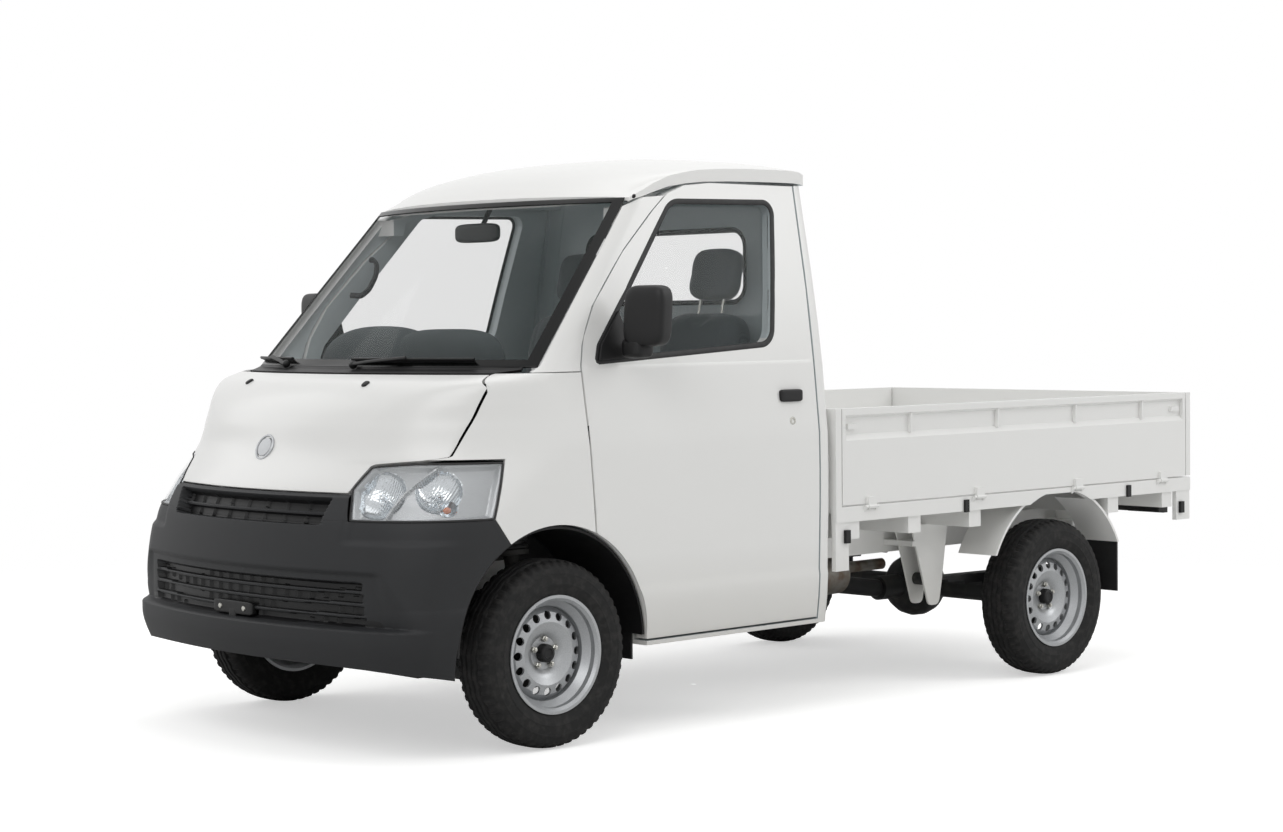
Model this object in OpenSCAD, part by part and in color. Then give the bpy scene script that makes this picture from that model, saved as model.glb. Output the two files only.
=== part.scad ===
// Compact cab-over pickup truck with a drop-side load bed.
// Axes: +X is the truck's left, -Y its front, +Z up. Lengths are in millimetres.
// Every piece is drawn with the front axle at y = 0 and the ground at z = 0, then moved
// so that the origin lies on the ground under the middle of the truck.

/* [Overall] */
// Distance between the axles
wheelbase = 2650; // [2450:10:2850]
// Distance between the tyre middles on one axle
track = 1456; // [1440:2:1470]
// Width of the body at its widest
body_w = 1664; // [1650:2:1690]
// From the front axle to the tip of the bumper
front_overhang = 735; // [700:5:770]
// Nose-down angle of the unloaded body
rake = 0.8; // [0:0.1:1]

/* [Cab] */
// From the front axle to the back face of the cab
cab_back = 1288; // [1286:1:1296]
// Thickness of a cab wall or door
wall = 52; // [40:2:60]
// Thickness of the outer sheet-metal panels that have no frame
sheet = 20; // [14:1:24]
// Gap between a moving panel and its neighbours
panel_gap = 8; // [6:0.5:10]
// Front edge of the door at the belt line, behind the front axle
door_front = 113; // [105:1:120]
// Rear edge of the door behind the front axle
door_rear = 1222; // [1200:1:1224]
// Lower edge of the door above the ground
door_bottom = 325; // [318:1:340]
// Upper edge of the door above the ground
door_top = 1872; // [1864:1:1876]
// Thickness of the windscreen and back glass
glass_t = 6; // [4:1:8]
// Height of the frame rails' top face
rail_top = 592; // [580:2:604]

/* [Bed] */
// From the front axle to the front of the bed
bed_front = 1312; // [1308:1:1330]
// Outside length of the bed
bed_len = 2208; // [2100:10:2300]
// Height of the bed floor above the ground
bed_z = 712; // [700:2:730]
// Height of the drop sides above the bed floor
gate_h = 356; // [300:2:380]
// Thickness of a drop side
gate_t = 30; // [26:1:34]
// Radius of the pins that the drop sides hang on
gate_pin_r = 5; // [4:0.5:6]

/* [Wheels] */
// Outside diameter of the tyres
tyre_d = 620; // [600:5:625]
// Width of the tyres
tyre_w = 168; // [155:1:172]
// Outside diameter of the rim flange
rim_d = 390; // [380:2:396]
// Radius of the stub axles that carry the wheels
spindle_r = 22; // [18:1:24]
// Radius of the wheel arches in the front wings
arch_r = 408; // [400:2:415]

/* [Hidden] */
$fn = 48;

// Running clearance between a pin or stub axle and its bore
running = 0.05;
// Small overlap that joins the pieces of one solid
bite = 1;
// Gap where two pieces of the body seat on each other
seat = 0.3;
white = "whitesmoke";
dark = "dimgray";
black = [0.12, 0.12, 0.13];
half_w = body_w / 2;
tyre_r = tyre_d / 2;
wheel_x = track / 2;
bed_back = bed_front + bed_len;
gate_top = bed_z + gate_h;
// Height of the line that the body tilts about
rake_z = 900;

// Middle of the truck, so that the origin lies under the middle of its box
gate_hinge_out = 8;
gate_barrel_r = gate_pin_r + 4;
tail_end = bed_back + gate_hinge_out + gate_barrel_r;
y_mid = (tail_end + (rake_z - bed_z) * sin(rake) - front_overhang + (rake_z - 400) * sin(rake)) / 2;

module placed() { translate([0, -y_mid, 0]) children(); }
module raked() { placed() translate([0, 0, rake_z]) rotate([rake, 0, 0]) translate([0, 0, -rake_z]) children(); }
module both_sides() { children(); mirror([1, 0, 0]) children(); }

// Body surface
// Side of the body: height, tuck-in from the widest point
SIDE = [[268, 28], [400, 10], [470, 5], [484, 5.5], [500, 8], [600, 5], [740, 1], [860, 0], [980, 1.5], [994, 2.4],
  [1100, 13], [1240, 27], [1500, 66], [1815, 126], [1900, 142]];
// Front of the body: height, setback behind the bumper's tip, front arc radius, corner radius
NOSE = [[268, 45, 2300, 260], [400, 0, 2300, 270], [600, 13, 2200, 290], [740, 29, 2000, 340], [850, 67, 1750, 450],
  [986, 153, 1670, 540], [1070, 185, 1700, 520], [1140, 225, 1750, 450], [1196, 291, 1800, 330],
  [1222, 385, 1800, 220], [1240, 480, 1800, 140], [1248, 487.5, 1800, 139], [1500, 723, 1780, 125], [1815, 1015, 1750, 110],
  [1900, 1090, 1750, 110]];

// Row of a table whose height range holds z
function seg(T, z, i = 0) = (i >= len(T) - 2 || z < T[i + 1][0]) ? i : seg(T, z, i + 1);
function rise(T, c, i) = (T[i + 1][c] - T[i][c]) / (T[i + 1][0] - T[i][0]);
// Slope at a table row that never overshoots its neighbours
function slope(T, c, i) =
  i == 0 ? rise(T, c, 0) : i == len(T) - 1 ? rise(T, c, i - 1) :
  let (a = rise(T, c, i - 1), b = rise(T, c, i)) a * b <= 0 ? 0 : 2 * a * b / (a + b);
// Smooth value of column c at height z
function smooth(T, c, z) =
  let (i = seg(T, z), h = T[i + 1][0] - T[i][0], t = min(1, max(0, (z - T[i][0]) / h)),
       p = T[i][c], q = T[i + 1][c], m = slope(T, c, i) * h, n = slope(T, c, i + 1) * h)
  p * (2 * t * t * t - 3 * t * t + 1) + m * (t * t * t - 2 * t * t + t) + q * (3 * t * t - 2 * t * t * t) +
  n * (t * t * t - t * t);

function side_x(z) = half_w - smooth(SIDE, 1, z);
function nose_y(z) = smooth(NOSE, 1, z) - front_overhang;
// Plan outline at height z: half width, nose y, front radius, corner radius, corner centre x and y, turn angle
function plan(z) =
  let (xs = side_x(z), yf = nose_y(z), R = smooth(NOSE, 2, z), r = smooth(NOSE, 3, z), cx = xs - r,
       cy = yf + R - sqrt((R - r) * (R - r) - cx * cx))
  [xs, yf, R, r, cx, cy, atan2(cx, yf + R - cy)];
// Point of the body: t runs from 0 on the middle line round the front arc to 1, round the corner to 2, then
// along the side, one unit for each metre
function skin(z, t) =
  let (p = plan(z), a = abs(t), s = t < 0 ? -1 : 1,
       ang = a <= 1 ? a * p[6] : p[6] + (min(a, 2) - 1) * (90 - p[6]),
       x = a <= 1 ? p[2] * sin(ang) : p[4] + p[3] * sin(ang),
       y = a <= 1 ? p[1] + p[2] - p[2] * cos(ang) : p[5] - p[3] * cos(ang) + 1000 * max(0, a - 2))
  [s * x, y, z];
function t_of_x(z, x) =
  let (p = plan(z), a = asin(min(1, abs(x) / p[2])), s = x < 0 ? -1 : 1)
  s * (a <= p[6] ? a / p[6] : 1 + (asin(min(1, (abs(x) - p[4]) / p[3])) - p[6]) / (90 - p[6]));
function t_of_y(z, y) =
  let (p = plan(z), a = y >= p[5] ? 90 : acos((p[5] - y) / p[3]))
  y >= p[5] ? 2 + (y - p[5]) / 1000 : 1 + (a - p[6]) / (90 - p[6]);
function unit(v) = v / norm(v);
function skin_normal(z, t) =
  let (dt = 0.004, dz = 1.5) unit(cross(skin(z, t + dt) - skin(z, t - dt), skin(z + dz, t) - skin(z - dz, t)));
// Point at a height and turn, moved out from the skin by a distance
function lifted(zt, out) = skin(zt[0], zt[1]) + out * skin_normal(zt[0], zt[1]);
// Point moved straight in from the skin, without a change of height
function level_in(zt, d) =
  let (n = skin_normal(zt[0], zt[1])) skin(zt[0], zt[1]) - d * unit([n.x, n.y, 0]);
function grid(rows, out) = [for (row = rows) [for (zt = row) lifted(zt, out)]];
function ramp(a, b, n) = [for (k = [0:n]) a + (b - a) * k / n];

// Closed solid between an outer and an inner grid of points of the same size
module between(outer, inner) {
  rows = len(outer);
  cols = len(outer[0]);
  n = rows * cols;
  points = concat([for (r = outer) each r], [for (r = inner) each r]);
  function id(i, j, k) = k * n + i * cols + j;
  faces = [
    for (i = [0:rows - 2], j = [0:cols - 2]) each
      [[id(i, j, 0), id(i + 1, j, 0), id(i + 1, j + 1, 0)], [id(i, j, 0), id(i + 1, j + 1, 0), id(i, j + 1, 0)],
       [id(i, j, 1), id(i + 1, j + 1, 1), id(i + 1, j, 1)], [id(i, j, 1), id(i, j + 1, 1), id(i + 1, j + 1, 1)]],
    for (i = [0:rows - 2]) each
      [[id(i, 0, 0), id(i, 0, 1), id(i + 1, 0, 1)], [id(i, 0, 0), id(i + 1, 0, 1), id(i + 1, 0, 0)],
       [id(i, cols - 1, 0), id(i + 1, cols - 1, 1), id(i, cols - 1, 1)],
       [id(i, cols - 1, 0), id(i + 1, cols - 1, 0), id(i + 1, cols - 1, 1)]],
    for (j = [0:cols - 2]) each
      [[id(0, j, 0), id(0, j + 1, 1), id(0, j, 1)], [id(0, j, 0), id(0, j + 1, 0), id(0, j + 1, 1)],
       [id(rows - 1, j, 0), id(rows - 1, j, 1), id(rows - 1, j + 1, 1)],
       [id(rows - 1, j, 0), id(rows - 1, j + 1, 1), id(rows - 1, j + 1, 0)]]];
  polyhedron(points, faces);
}
// Panel of the body skin, from out to out - thick
module skin_panel(rows, thick, out = 0) { between(grid(rows, out), grid(rows, out - thick)); }

// Outlines
function corner_arc(a, b, c, r, n) =
  let (u = unit(a - b), w = unit(c - b), half = acos(u * w) / 2, o = b + unit(u + w) * (r / sin(half)),
       s = b + u * (r / tan(half)) - o, e = b + w * (r / tan(half)) - o, a0 = atan2(s.y, s.x),
       turn = atan2(s.x * e.y - s.y * e.x, s * e))
  [for (k = [0:n]) o + r * [cos(a0 + turn * k / n), sin(a0 + turn * k / n)]];
// Outline from corners [across, up, radius]
function rounded(C, n = 5) =
  [for (i = [0:len(C) - 1])
    let (a = C[(i + len(C) - 1) % len(C)], b = C[i], c = C[(i + 1) % len(C)])
    each (b[2] > 0 ? corner_arc([a[0], a[1]], [b[0], b[1]], [c[0], c[1]], b[2], n) : [[b[0], b[1]]])];
// Outline in the side view [y, z], from x0 to x1
module side_cut(outline, x0, x1) {
  translate([x0, 0, 0]) rotate([90, 0, 90]) linear_extrude(x1 - x0) polygon(outline);
}
// Outline in the front view [x, z], from y0 to y1
module front_cut(outline, y0, y1) {
  translate([0, y1, 0]) rotate([90, 0, 0]) linear_extrude(y1 - y0) polygon(outline);
}
module block(from, to) { translate(from) cube(to - from); }
module rod_x(x0, x1, y, z, r) { translate([x0, y, z]) rotate([0, 90, 0]) cylinder(h = x1 - x0, r = r); }
module rod_y(x, y0, y1, z, r) { translate([x, y0, z]) rotate([-90, 0, 0]) cylinder(h = y1 - y0, r = r); }
module rod_z(x, y, z0, z1, r) { translate([x, y, z0]) cylinder(h = z1 - z0, r = r); }

// Seams between the body panels
// Hood: height, half width
HOOD_SIDE = [[852, 472], [868, 482], [944, 508], [956, 640], [966, 700], [1022, 708], [1100, 725], [1185, 742],
  [1224, 700], [1240, 690]];
hood_top = 1224;
function hood_x(z) = lookup(z, HOOD_SIDE);
// Front end of the wing, up to the lamp's top: height, y
WING_FRONT = [[600, -150], [687, -219], [770, -283], [862, -249], [960, -211]];
lamp_top = 958;
lamp_bottom = 769.8;
function wing_y(z) = lookup(z, WING_FRONT);
// Front edge of the door: height, setback behind the belt line's corner
DOOR_EDGE = [[268, 40], [717, 36], [908, 20], [1137, 5], [1245, 0], [1338, 21], [1453, 86], [1624, 243], [1774, 418],
  [1830, 493], [1860, 577], [1872, 701]];
function door_y(z) = door_front + lookup(z, DOOR_EDGE);
// Outer edge of the windscreen: height, x from the middle
SCREEN_EDGE = [[1240, 781], [1367, 761], [1558, 729], [1718, 701], [1815, 683]];
screen_bottom = 1248;
screen_top = 1813;
function screen_x(z) = lookup(z, SCREEN_EDGE) + half_w - 832;

floor_t = 20;
floor_z = rail_top + seat + floor_t;
arch_y = -25;
arch_z = 328;
function arch_edge(z) = arch_y + sqrt(arch_r * arch_r - (z - arch_z) * (z - arch_z));
module front_arch(r, x0, x1) { rod_x(x0, x1, arch_y, arch_z, r); }

// Door
// How far the door's rear edge leans back above the belt line
door_lean = 12;
hinge_x = half_w - 20;
hinge_y = door_front + 77;
hinge_r = 6;
hinge_z = [790, 1020];
hinge_barrel = 11;

// Section of the cab side [x, z] from depth a to depth b below the skin
function side_section(z0, z1, a, b) =
  let (zs = concat([z0], [for (r = SIDE) if (r[0] > z0 + 8 && r[0] < z1 - 8) r[0]], [z1]))
  concat([for (z = zs) [side_x(z) - a, z]], [for (i = [len(zs) - 1:-1:0]) [side_x(zs[i]) - b, zs[i]]]);
module side_slab(z0, z1, a, b, y0, y1) { front_cut(side_section(z0, z1, a, b), y0, y1); }
door_outline = concat(
  [for (r = DOOR_EDGE) if (r[0] > door_bottom + 5 && r[0] < door_top - 3) [door_y(r[0]), r[0]]],
  [[door_front + 701, door_top], [door_rear + door_lean, door_top], [door_rear, 1250], [door_rear, door_bottom],
   [door_front + 40, door_bottom]]);
// Window corners: y, z, radius
door_window = rounded([[door_front + 68, 1259, 8], [door_rear - 200, 1308, 70], [door_rear - 102, 1812, 40],
  [door_front + 500, 1804, 90], [door_front + 85, 1312, 20]]);

module door_panel() {
  difference() {
    intersection() {
      side_slab(door_bottom, door_top, 0, wall, door_front - 5, door_rear + 30);
      side_cut(door_outline, half_w - 260, half_w + 10);
    }
    side_cut(door_window, half_w - 300, half_w + 20);
    front_arch(arch_r + 2, half_w - 300, half_w + 20);
    for (z = hinge_z)
      block([half_w - 130, door_front - 20, z - 32], [half_w - 8, hinge_y + 22, z + 32]);
  }
  for (z = hinge_z, s = [-1, 1])
    difference() {
      union() {
        translate([hinge_x, hinge_y, z + s * 19]) cylinder(h = 14, r = hinge_barrel, center = true);
        translate([hinge_x, hinge_y + 14, z + s * 19]) cube([14, 28, 14], center = true);
      }
      rod_z(hinge_x, hinge_y, z - 40, z + 40, hinge_r + running);
    }
}
module door_pane() {
  intersection() {
    side_slab(1240, 1840, 22, 27, door_front, door_rear + 20);
    side_cut(door_window, half_w - 300, half_w + 20);
  }
}
// Mirror on its arm, outer handle and the armrest inside
mirror_x = half_w + 20;
mirror_y = door_front + 150;
module door_set() {
  difference() {
    union() {
      translate([mirror_x + 72, mirror_y + 40, 1408]) rotate([0, 0, 12])
        rotate([90, 0, 0]) linear_extrude(90, center = true)
          polygon(rounded([[-78, -96, 34], [78, -96, 34], [84, 100, 40], [-70, 100, 40]], 4));
      side_cut([[mirror_y - 30, 1268], [mirror_y + 90, 1268], [mirror_y + 70, 1340], [mirror_y + 6, 1340]],
        half_w - 46, mirror_x + 30);
      block([half_w - 22, door_rear - 200, 1106], [half_w + 14, door_rear - 68, 1142]);
      block([half_w - wall - 80, door_front + 420, 920], [half_w - wall + 10, door_rear - 90, 970]);
    }
    side_slab(860, 1600, -seat, wall + seat, door_front - 50, door_rear + 60);
  }
}
module door_left() { raked() color(white) door_panel(); }
module door_right() { raked() color(white) mirror([1, 0, 0]) door_panel(); }
module door_left_glass() { raked() color("slategray") door_pane(); }
module door_right_glass() { raked() color("slategray") mirror([1, 0, 0]) door_pane(); }
module door_left_fittings() { raked() color(black) door_set(); }
module door_right_fittings() { raked() color(black) mirror([1, 0, 0]) door_set(); }

// Hood
hood_hinge_y = -250;
hood_hinge_z = 1188;
hood_hinge_x = 520;
hood_pin_r = 7;
HOOD_Z = [856, 900, 944, 956, 966, 990, 1022, 1060, 1100, 1140, 1170, 1190, 1206, 1216, hood_top];
module hood() {
  raked() color(white) {
    difference() {
      union() {
        skin_panel([for (z = HOOD_Z) [for (u = ramp(-1, 1, 14)) [z, t_of_x(z, u * hood_x(z))]]], sheet);
        for (s = [-1, 1])
          block([s * hood_hinge_x - 14, hood_hinge_y - 70, hood_hinge_z - 12],
            [s * hood_hinge_x + 14, hood_hinge_y, hood_hinge_z + 12]);
        for (s = [-1, 1]) rod_x(s * hood_hinge_x - 14, s * hood_hinge_x + 14, hood_hinge_y, hood_hinge_z, 12);
      }
      for (s = [-1, 1])
        rod_x(s * hood_hinge_x - 30, s * hood_hinge_x + 30, hood_hinge_y, hood_hinge_z, hood_pin_r + running);
    }
  }
}

// Cowl: the strip under the windscreen, the wall below it and the hood's hinge pins
module cowl() {
  wall_z = [toe_top + seat, 900, 1060, 1180, 1236];
  wall_x = ramp(-1, 1, 10);
  raked() color(black) {
    skin_panel([for (z = [hood_top + 5, 1232, 1240, screen_bottom - 0.8])
      [for (u = ramp(-1, 1, 14)) [z, t_of_x(z, u * lookup(z, [[1229, 684], [1232, 698], [1240, 740]]))]]], 9);
    between(
      [for (z = wall_z) [for (u = wall_x) let (p = skin(1243, t_of_x(1243, u * 700))) [p.x, p.y - 14, z]]],
      [for (z = wall_z) [for (u = wall_x) let (p = skin(1243, t_of_x(1243, u * 700))) [p.x, p.y + 2, z]]]);
    for (s = [-1, 1]) {
      for (e = [-1, 1])
        block([s * hood_hinge_x + e * 22 - 6, hood_hinge_y - 12, hood_hinge_z - 14],
          [s * hood_hinge_x + e * 22 + 6, hood_hinge_y + 100, hood_hinge_z + 10]);
      rod_x(s * hood_hinge_x - 27, s * hood_hinge_x + 27, hood_hinge_y, hood_hinge_z, hood_pin_r);
    }
  }
}

// Front wings
WING_Z = [664, 700, 735, 770, 816, 862, 910, lamp_top, 968, 1022, 1070, 1100, 1140, 1170, 1196, 1212, 1222, 1227.5];
function wing_t0(z) = z <= lamp_top + 1 ? t_of_y(z, wing_y(z)) : t_of_x(z, hood_x(z) + panel_gap);
function wing_t1(z) = t_of_y(z, door_y(z) - panel_gap);
module fenders() {
  raked() color(white) both_sides()
    difference() {
      skin_panel([for (z = WING_Z) [for (u = ramp(0, 1, 8)) [z, wing_t0(z) + u * (wing_t1(z) - wing_t0(z))]]], sheet);
      front_arch(arch_r, 500, half_w + 20);
    }
}

// Bumper with the two grilles
BUMPER_Z = [300, 350, 400, 440, 500, 570, 620, 687, 735, 768];
bumper_t = 30;
function bumper_end(z) = t_of_y(z, (z < 687 ? -150 : wing_y(z)) - 0.8);
function bumper_low(u) = 322 - 52 * pow(abs(u), 3);
module bumper_bar(z, half, high, out, thick) {
  skin_panel([for (zz = [z - high / 2, z + high / 2]) [for (u = ramp(-1, 1, 12)) [zz, t_of_x(zz, u * half)]]],
    thick, out);
}
module front_bumper() {
  raked() color(dark) {
    difference() {
      union() {
        skin_panel([for (i = [0:len(BUMPER_Z) - 1]) [for (u = ramp(-1, 1, 22))
          let (z = i == 0 ? bumper_low(u) : i == 1 ? max(bumper_low(u) + 20, BUMPER_Z[1]) : BUMPER_Z[i])
          [z, u * bumper_end(z)]]], bumper_t);
        skin_panel([for (z = [750, 775, 812, 848]) [for (u = ramp(-1, 1, 12))
          [z, t_of_x(z, u * lookup(z, [[750, 516], [775, 512], [848, 464]]))]]], bumper_t);
      }
      front_cut(rounded([[-412, 752, 14], [412, 752, 14], [434, 836, 14], [-434, 836, 14]], 3), -800, -500);
      front_cut(rounded([[-612, 441, 20], [612, 441, 20], [590, 583, 20], [-590, 583, 20]], 3), -800, -400);
      for (s = [-1, 1]) front_arch(arch_r, s > 0 ? 400 : -half_w - 20, s > 0 ? half_w + 20 : -400);
    }
    bumper_bar(794, 446, 12, -8, 20);
    bumper_bar(794, 446, 110, -27, 5);
    for (z = [474, 512, 550]) bumper_bar(z, 620, 11, -20, 16);
    bumper_bar(512, 625, 160, -28, 5);
    block([-115, -front_overhang + 14, 436], [115, -front_overhang + 48, 498]);
  }
}

// Headlamps
LAMP_Z = [lamp_bottom, 800, 832, 868, 910, lamp_top - 22, lamp_top - 11];
function lamp_t0(z) = t_of_x(z, lookup(z, [[768, 526], [868, 492], [936, 518], [947, 648]]));
function lamp_t1(z) = t_of_y(z, wing_y(z) - 6);
lamp_rows = [for (z = LAMP_Z) [for (u = ramp(0, 1, 8)) [z, lamp_t0(z) + u * (lamp_t1(z) - lamp_t0(z))]]];
lens_t = 4;
// Reflectors: x, z, radius
BOWLS = [[585, 872, 52], [690, 880, 52], [770, 868, 34]];
module headlamp_lenses() { raked() color("lightblue") both_sides() skin_panel(lamp_rows, lens_t); }
module headlamps() {
  raked() color("silver") both_sides()
    difference() {
      skin_panel(lamp_rows, 75, -lens_t);
      for (b = BOWLS)
        translate([b[0], skin(b[1], t_of_x(b[1], b[0])).y + 62, b[1]]) rotate([90, 0, 0])
          cylinder(h = 200, r1 = b[2] * 0.5, r2 = b[2] * 1.7);
    }
}

// Cab side: screen pillar, hinge pillar, roof rail, rear pillar and sill in one piece
rail_x = side_x(1830) - 76;
PILLAR_Z = [302, 400, 478, 500, 600, 740, 860, 988, 1100, 1240, 1400, 1560, 1720, 1874];
module cab_side() {
  // Screen pillar
  rows = [for (z = concat([1231], ramp(1252, 1764, 8), [1782]))
    let (top = z > 1775 ? 40 : 0, a = t_of_x(z, screen_x(z)), b = t_of_y(z + top, door_y(z + top) - panel_gap))
    [for (u = ramp(0, 1, 5)) [z + top * u, a + u * (b - a)]]];
  between(grid(rows, 0), [for (row = rows) [for (zt = row) level_in(zt, 40)]]);
  // Hinge pillar with its arms and pins
  block([half_w - 200, door_front - 70, arch_z + arch_r], [half_w - 122, door_front + 102, 1235]);
  block([half_w - 200, door_front - 70, 1200], [half_w - 60, door_front - 10, 1262]);
  block([half_w - 130, door_front - 68, 850], [half_w - sheet - seat, door_front - 16, 900]);
  for (z = hinge_z) {
    block([half_w - 130, hinge_y - 13, z - 10], [hinge_x, hinge_y + 13, z + 10]);
    rod_z(hinge_x, hinge_y, z - 10, z + 10, hinge_barrel);
    rod_z(hinge_x, hinge_y, z - 27, z + 27, hinge_r);
  }
  // Roof rail inside the door's top edge
  side_cut([[door_front + 300, 1722], [door_front + 345, 1722], [door_front + 357, 1770], [door_front + 650, 1834],
    [cab_back - 10, 1838], [cab_back - 10, 1870], [door_front + 650, 1864], [door_front + 487, 1834],
    [door_front + 330, 1786], [door_front + 300, 1780]], rail_x - 40, rail_x);
  block([rail_x - 40, door_front + 300, 1722], [side_x(1722) - 34, door_front + 345, 1780]);
  // Sill under the door and the upstand behind it
  front_cut([[half_w - sill_in, 302], [side_x(302), 302], [side_x(door_bottom - panel_gap), door_bottom - panel_gap],
    [half_w - 92, door_bottom - panel_gap], [half_w - 92, floor_z + 20], [half_w - sill_in, floor_z + 20]],
    arch_y + arch_r + 4, cab_back - back_depth - seat);
  // Front post between the sill and the hinge pillar
  side_cut(concat([for (z = [690, 600, 510, 420]) [arch_edge(z) + 6, z]],
    [for (z = [420, 510, 600, 690]) [arch_edge(z) + 80, z]], [[door_front + 102, 760], [door_front + 40, 760]]),
    half_w - 200, half_w - 122);
  // Rear pillar and corner
  zs = PILLAR_Z;
  between(
    [for (z = zs) let (x = side_x(z), y = door_rear + panel_gap + lookup(z, [[1250, 0], [1875, door_lean]]))
      concat([[x, y, z]], [for (a = ramp(90, 0, 4)) [x - 30 + 30 * sin(a), cab_back - 30 + 30 * cos(a), z]],
        [[x - 130, cab_back, z]])],
    [for (z = zs) let (x = side_x(z), y = door_rear + panel_gap + lookup(z, [[1250, 0], [1875, door_lean]]))
      concat([[x - wall, y, z]], [for (a = ramp(90, 0, 4)) [x - wall - 3 + 3 * sin(a), cab_back - 39 + 3 * cos(a), z]],
        [[x - 130, cab_back - 36, z]])]);
}
module cab_side_left() { raked() color(white) cab_side(); }
module cab_side_right() { raked() color(white) mirror([1, 0, 0]) cab_side(); }

// Back wall with its window
window_x = half_w - 272;
back_window = rounded([[-window_x, 1360, 60], [window_x, 1360, 60], [window_x - 20, 1730, 60],
  [20 - window_x, 1730, 60]], 4);
module cab_back() {
  low = floor_z - floor_t;
  zs = concat([low], [for (z = PILLAR_Z) if (z > low + 10 && z < 1850) z], [1876]);
  edge = [for (z = zs) [side_x(z) - 130 - seat, z]];
  raked() color(white) difference() {
    front_cut(concat(edge, [for (i = [len(edge) - 1:-1:0]) [-edge[i].x, edge[i].y]]), cab_back - back_depth, cab_back - 2);
    front_cut(back_window, cab_back - 100, cab_back + 50);
  }
}
module cab_glass() {
  raked() color("slategray") {
    skin_panel([for (z = ramp(screen_bottom, screen_top, 9)) [for (u = ramp(-1, 1, 14))
      [z, t_of_x(z, u * (screen_x(z) - 3.8))]]], glass_t);
    front_cut(back_window, cab_back - 22, cab_back - 22 + glass_t);
  }
}

// Roof: v from the windscreen's top to the back, centre height, edge height, centre depth, edge depth
ROOF = [[0, 1823, 1813, 34, 10], [0.06, 1862, 1836, 49, 20], [0.13, 1900, 1866, 58, 30], [0.22, 1932, 1893, 65, 35],
  [0.4, 1966, 1917, 72, 41], [0.65, 1985, 1926, 75, 44], [0.9, 1984, 1927, 75, 43], [0.97, 1976, 1923, 73, 41],
  [1, 1960, 1914, 70, 38]];
roof_edge = side_x(1860) + 2;
function roof_point(u, v, drop) =
  let (x = u * (roof_edge - 18 * (1 - v) * (1 - v)), p = skin(1815, t_of_x(1815, x)),
       zc = smooth(ROOF, 1, v), ze = smooth(ROOF, 2, v), dc = smooth(ROOF, 3, v), de = smooth(ROOF, 4, v))
  [x, p.y + 11 + (cab_back - p.y - 11) * v,
   zc - (zc - ze) * pow(abs(u), 2.6) - drop * (dc - (dc - de) * pow(abs(u), 4))];
roof_us = concat([-1, -0.93], ramp(-0.84, 0.84, 10), [0.93, 1]);
roof_vs = [0, 0.03, 0.07, 0.13, 0.2, 0.3, 0.4, 0.55, 0.7, 0.85, 0.94, 0.98, 1];
function roof_grid(drop, lift) = [for (v = roof_vs) [for (u = roof_us) roof_point(u, v, drop) + [0, 0, lift]]];
module roof() { raked() color(white) between(roof_grid(0, 0), roof_grid(1, 0)); }
// Cab floor, footwell and the box under the seats
sill_in = 150;
back_depth = 34;
toe_top = 780;
seat_box_z = 800;
engine_bay = [[-280, 518], [280, 1200]];
module cab_floor() {
  half = half_w - sill_in - seat;
  back = cab_back - back_depth - seat;
  raked() color(dark) difference() {
    union() {
      block([-half, arch_y + arch_r + 40, floor_z - floor_t], [half, back, floor_z]);
      block([-450, -262, floor_z - floor_t], [450, arch_y + arch_r + 60, floor_z]);
      block([-450, -262, floor_z - floor_t], [450, -240, toe_top]);
      block([-half_w + 160, 500, floor_z - floor_t], [half_w - 160, back, seat_box_z]);
    }
    both_sides() block([rails_x - rail_w / 2 - 4, -68, floor_z - 60], [500, 68, floor_z + 60]);
    block([engine_bay[0][0], engine_bay[0][1], floor_z - 60], [engine_bay[1][0], engine_bay[1][1], seat_box_z - 18]);
  }
}
module dash_body(grow = 0) {
  side_cut(rounded([[-120 - grow, 1000, 30], [110, 920 - grow, 40], [290 + grow, 1010, 40], [270 + grow, 1180, 60],
    [60, 1222 + grow, 30], [-120 - grow, 1222 + grow, 10]], 4), 212 - half_w, half_w - 212);
}
module dashboard() {
  raked() color(dark) {
    dash_body();
    block([-190, 40, 760], [190, 210, 960]);
    block([-250, skin(1243, t_of_x(1243, 250)).y + 3.5 + seat, 1000], [250, -100, 1180]);
  }
}
steer_x = 36 - half_w / 2;
module steering_wheel() {
  raked() color(black) difference() {
    translate([steer_x, 365, 1195]) rotate([-38, 0, 0]) {
      rotate_extrude($fn = 40) translate([180, 0]) circle(r = 14, $fn = 12);
      for (a = [90, 210, 330]) rotate([0, 0, a]) translate([0, -18, -12]) cube([178, 36, 14]);
      translate([0, 0, -24]) cylinder(h = 32, r = 52);
      translate([0, 0, -160]) cylinder(h = 150, r = 26);
    }
    dash_body(seat);
  }
}
seat_x = half_w / 2 - 41;
module seat() {
  side_cut(rounded([[540, seat_box_z, 10], [1010, seat_box_z, 20], [1010, 940, 40], [540, 930, 60]], 4),
    seat_x - 235, seat_x + 235);
  side_cut(rounded([[930, 900, 40], [1075, 890, 40], [1190, 1440, 50], [1085, 1450, 50]], 4), seat_x - 230, seat_x + 230);
  side_cut(rounded([[1100, 1480, 30], [1190, 1476, 30], [1215, 1620, 34], [1140, 1625, 34]], 4), seat_x - 125, seat_x + 125);
  for (s = [-1, 1]) translate([seat_x + s * 60, 1140, 1400]) rotate([-10, 0, 0]) cylinder(h = 120, r = 7);
}
module seats() { raked() color("gray") both_sides() seat(); }
// Inside mirror on its stem and the grab handle on the passenger's pillar
module cabin_fittings() {
  raked() color(black) {
    block([-120, 322, 1680], [120, 350, 1745]);
    translate([0, 345, 1700]) rotate([-30, 0, 0]) cylinder(h = 156, r = 9);
    rod_z(560, 200, 1197, 1300, 10);
  }
}
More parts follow.
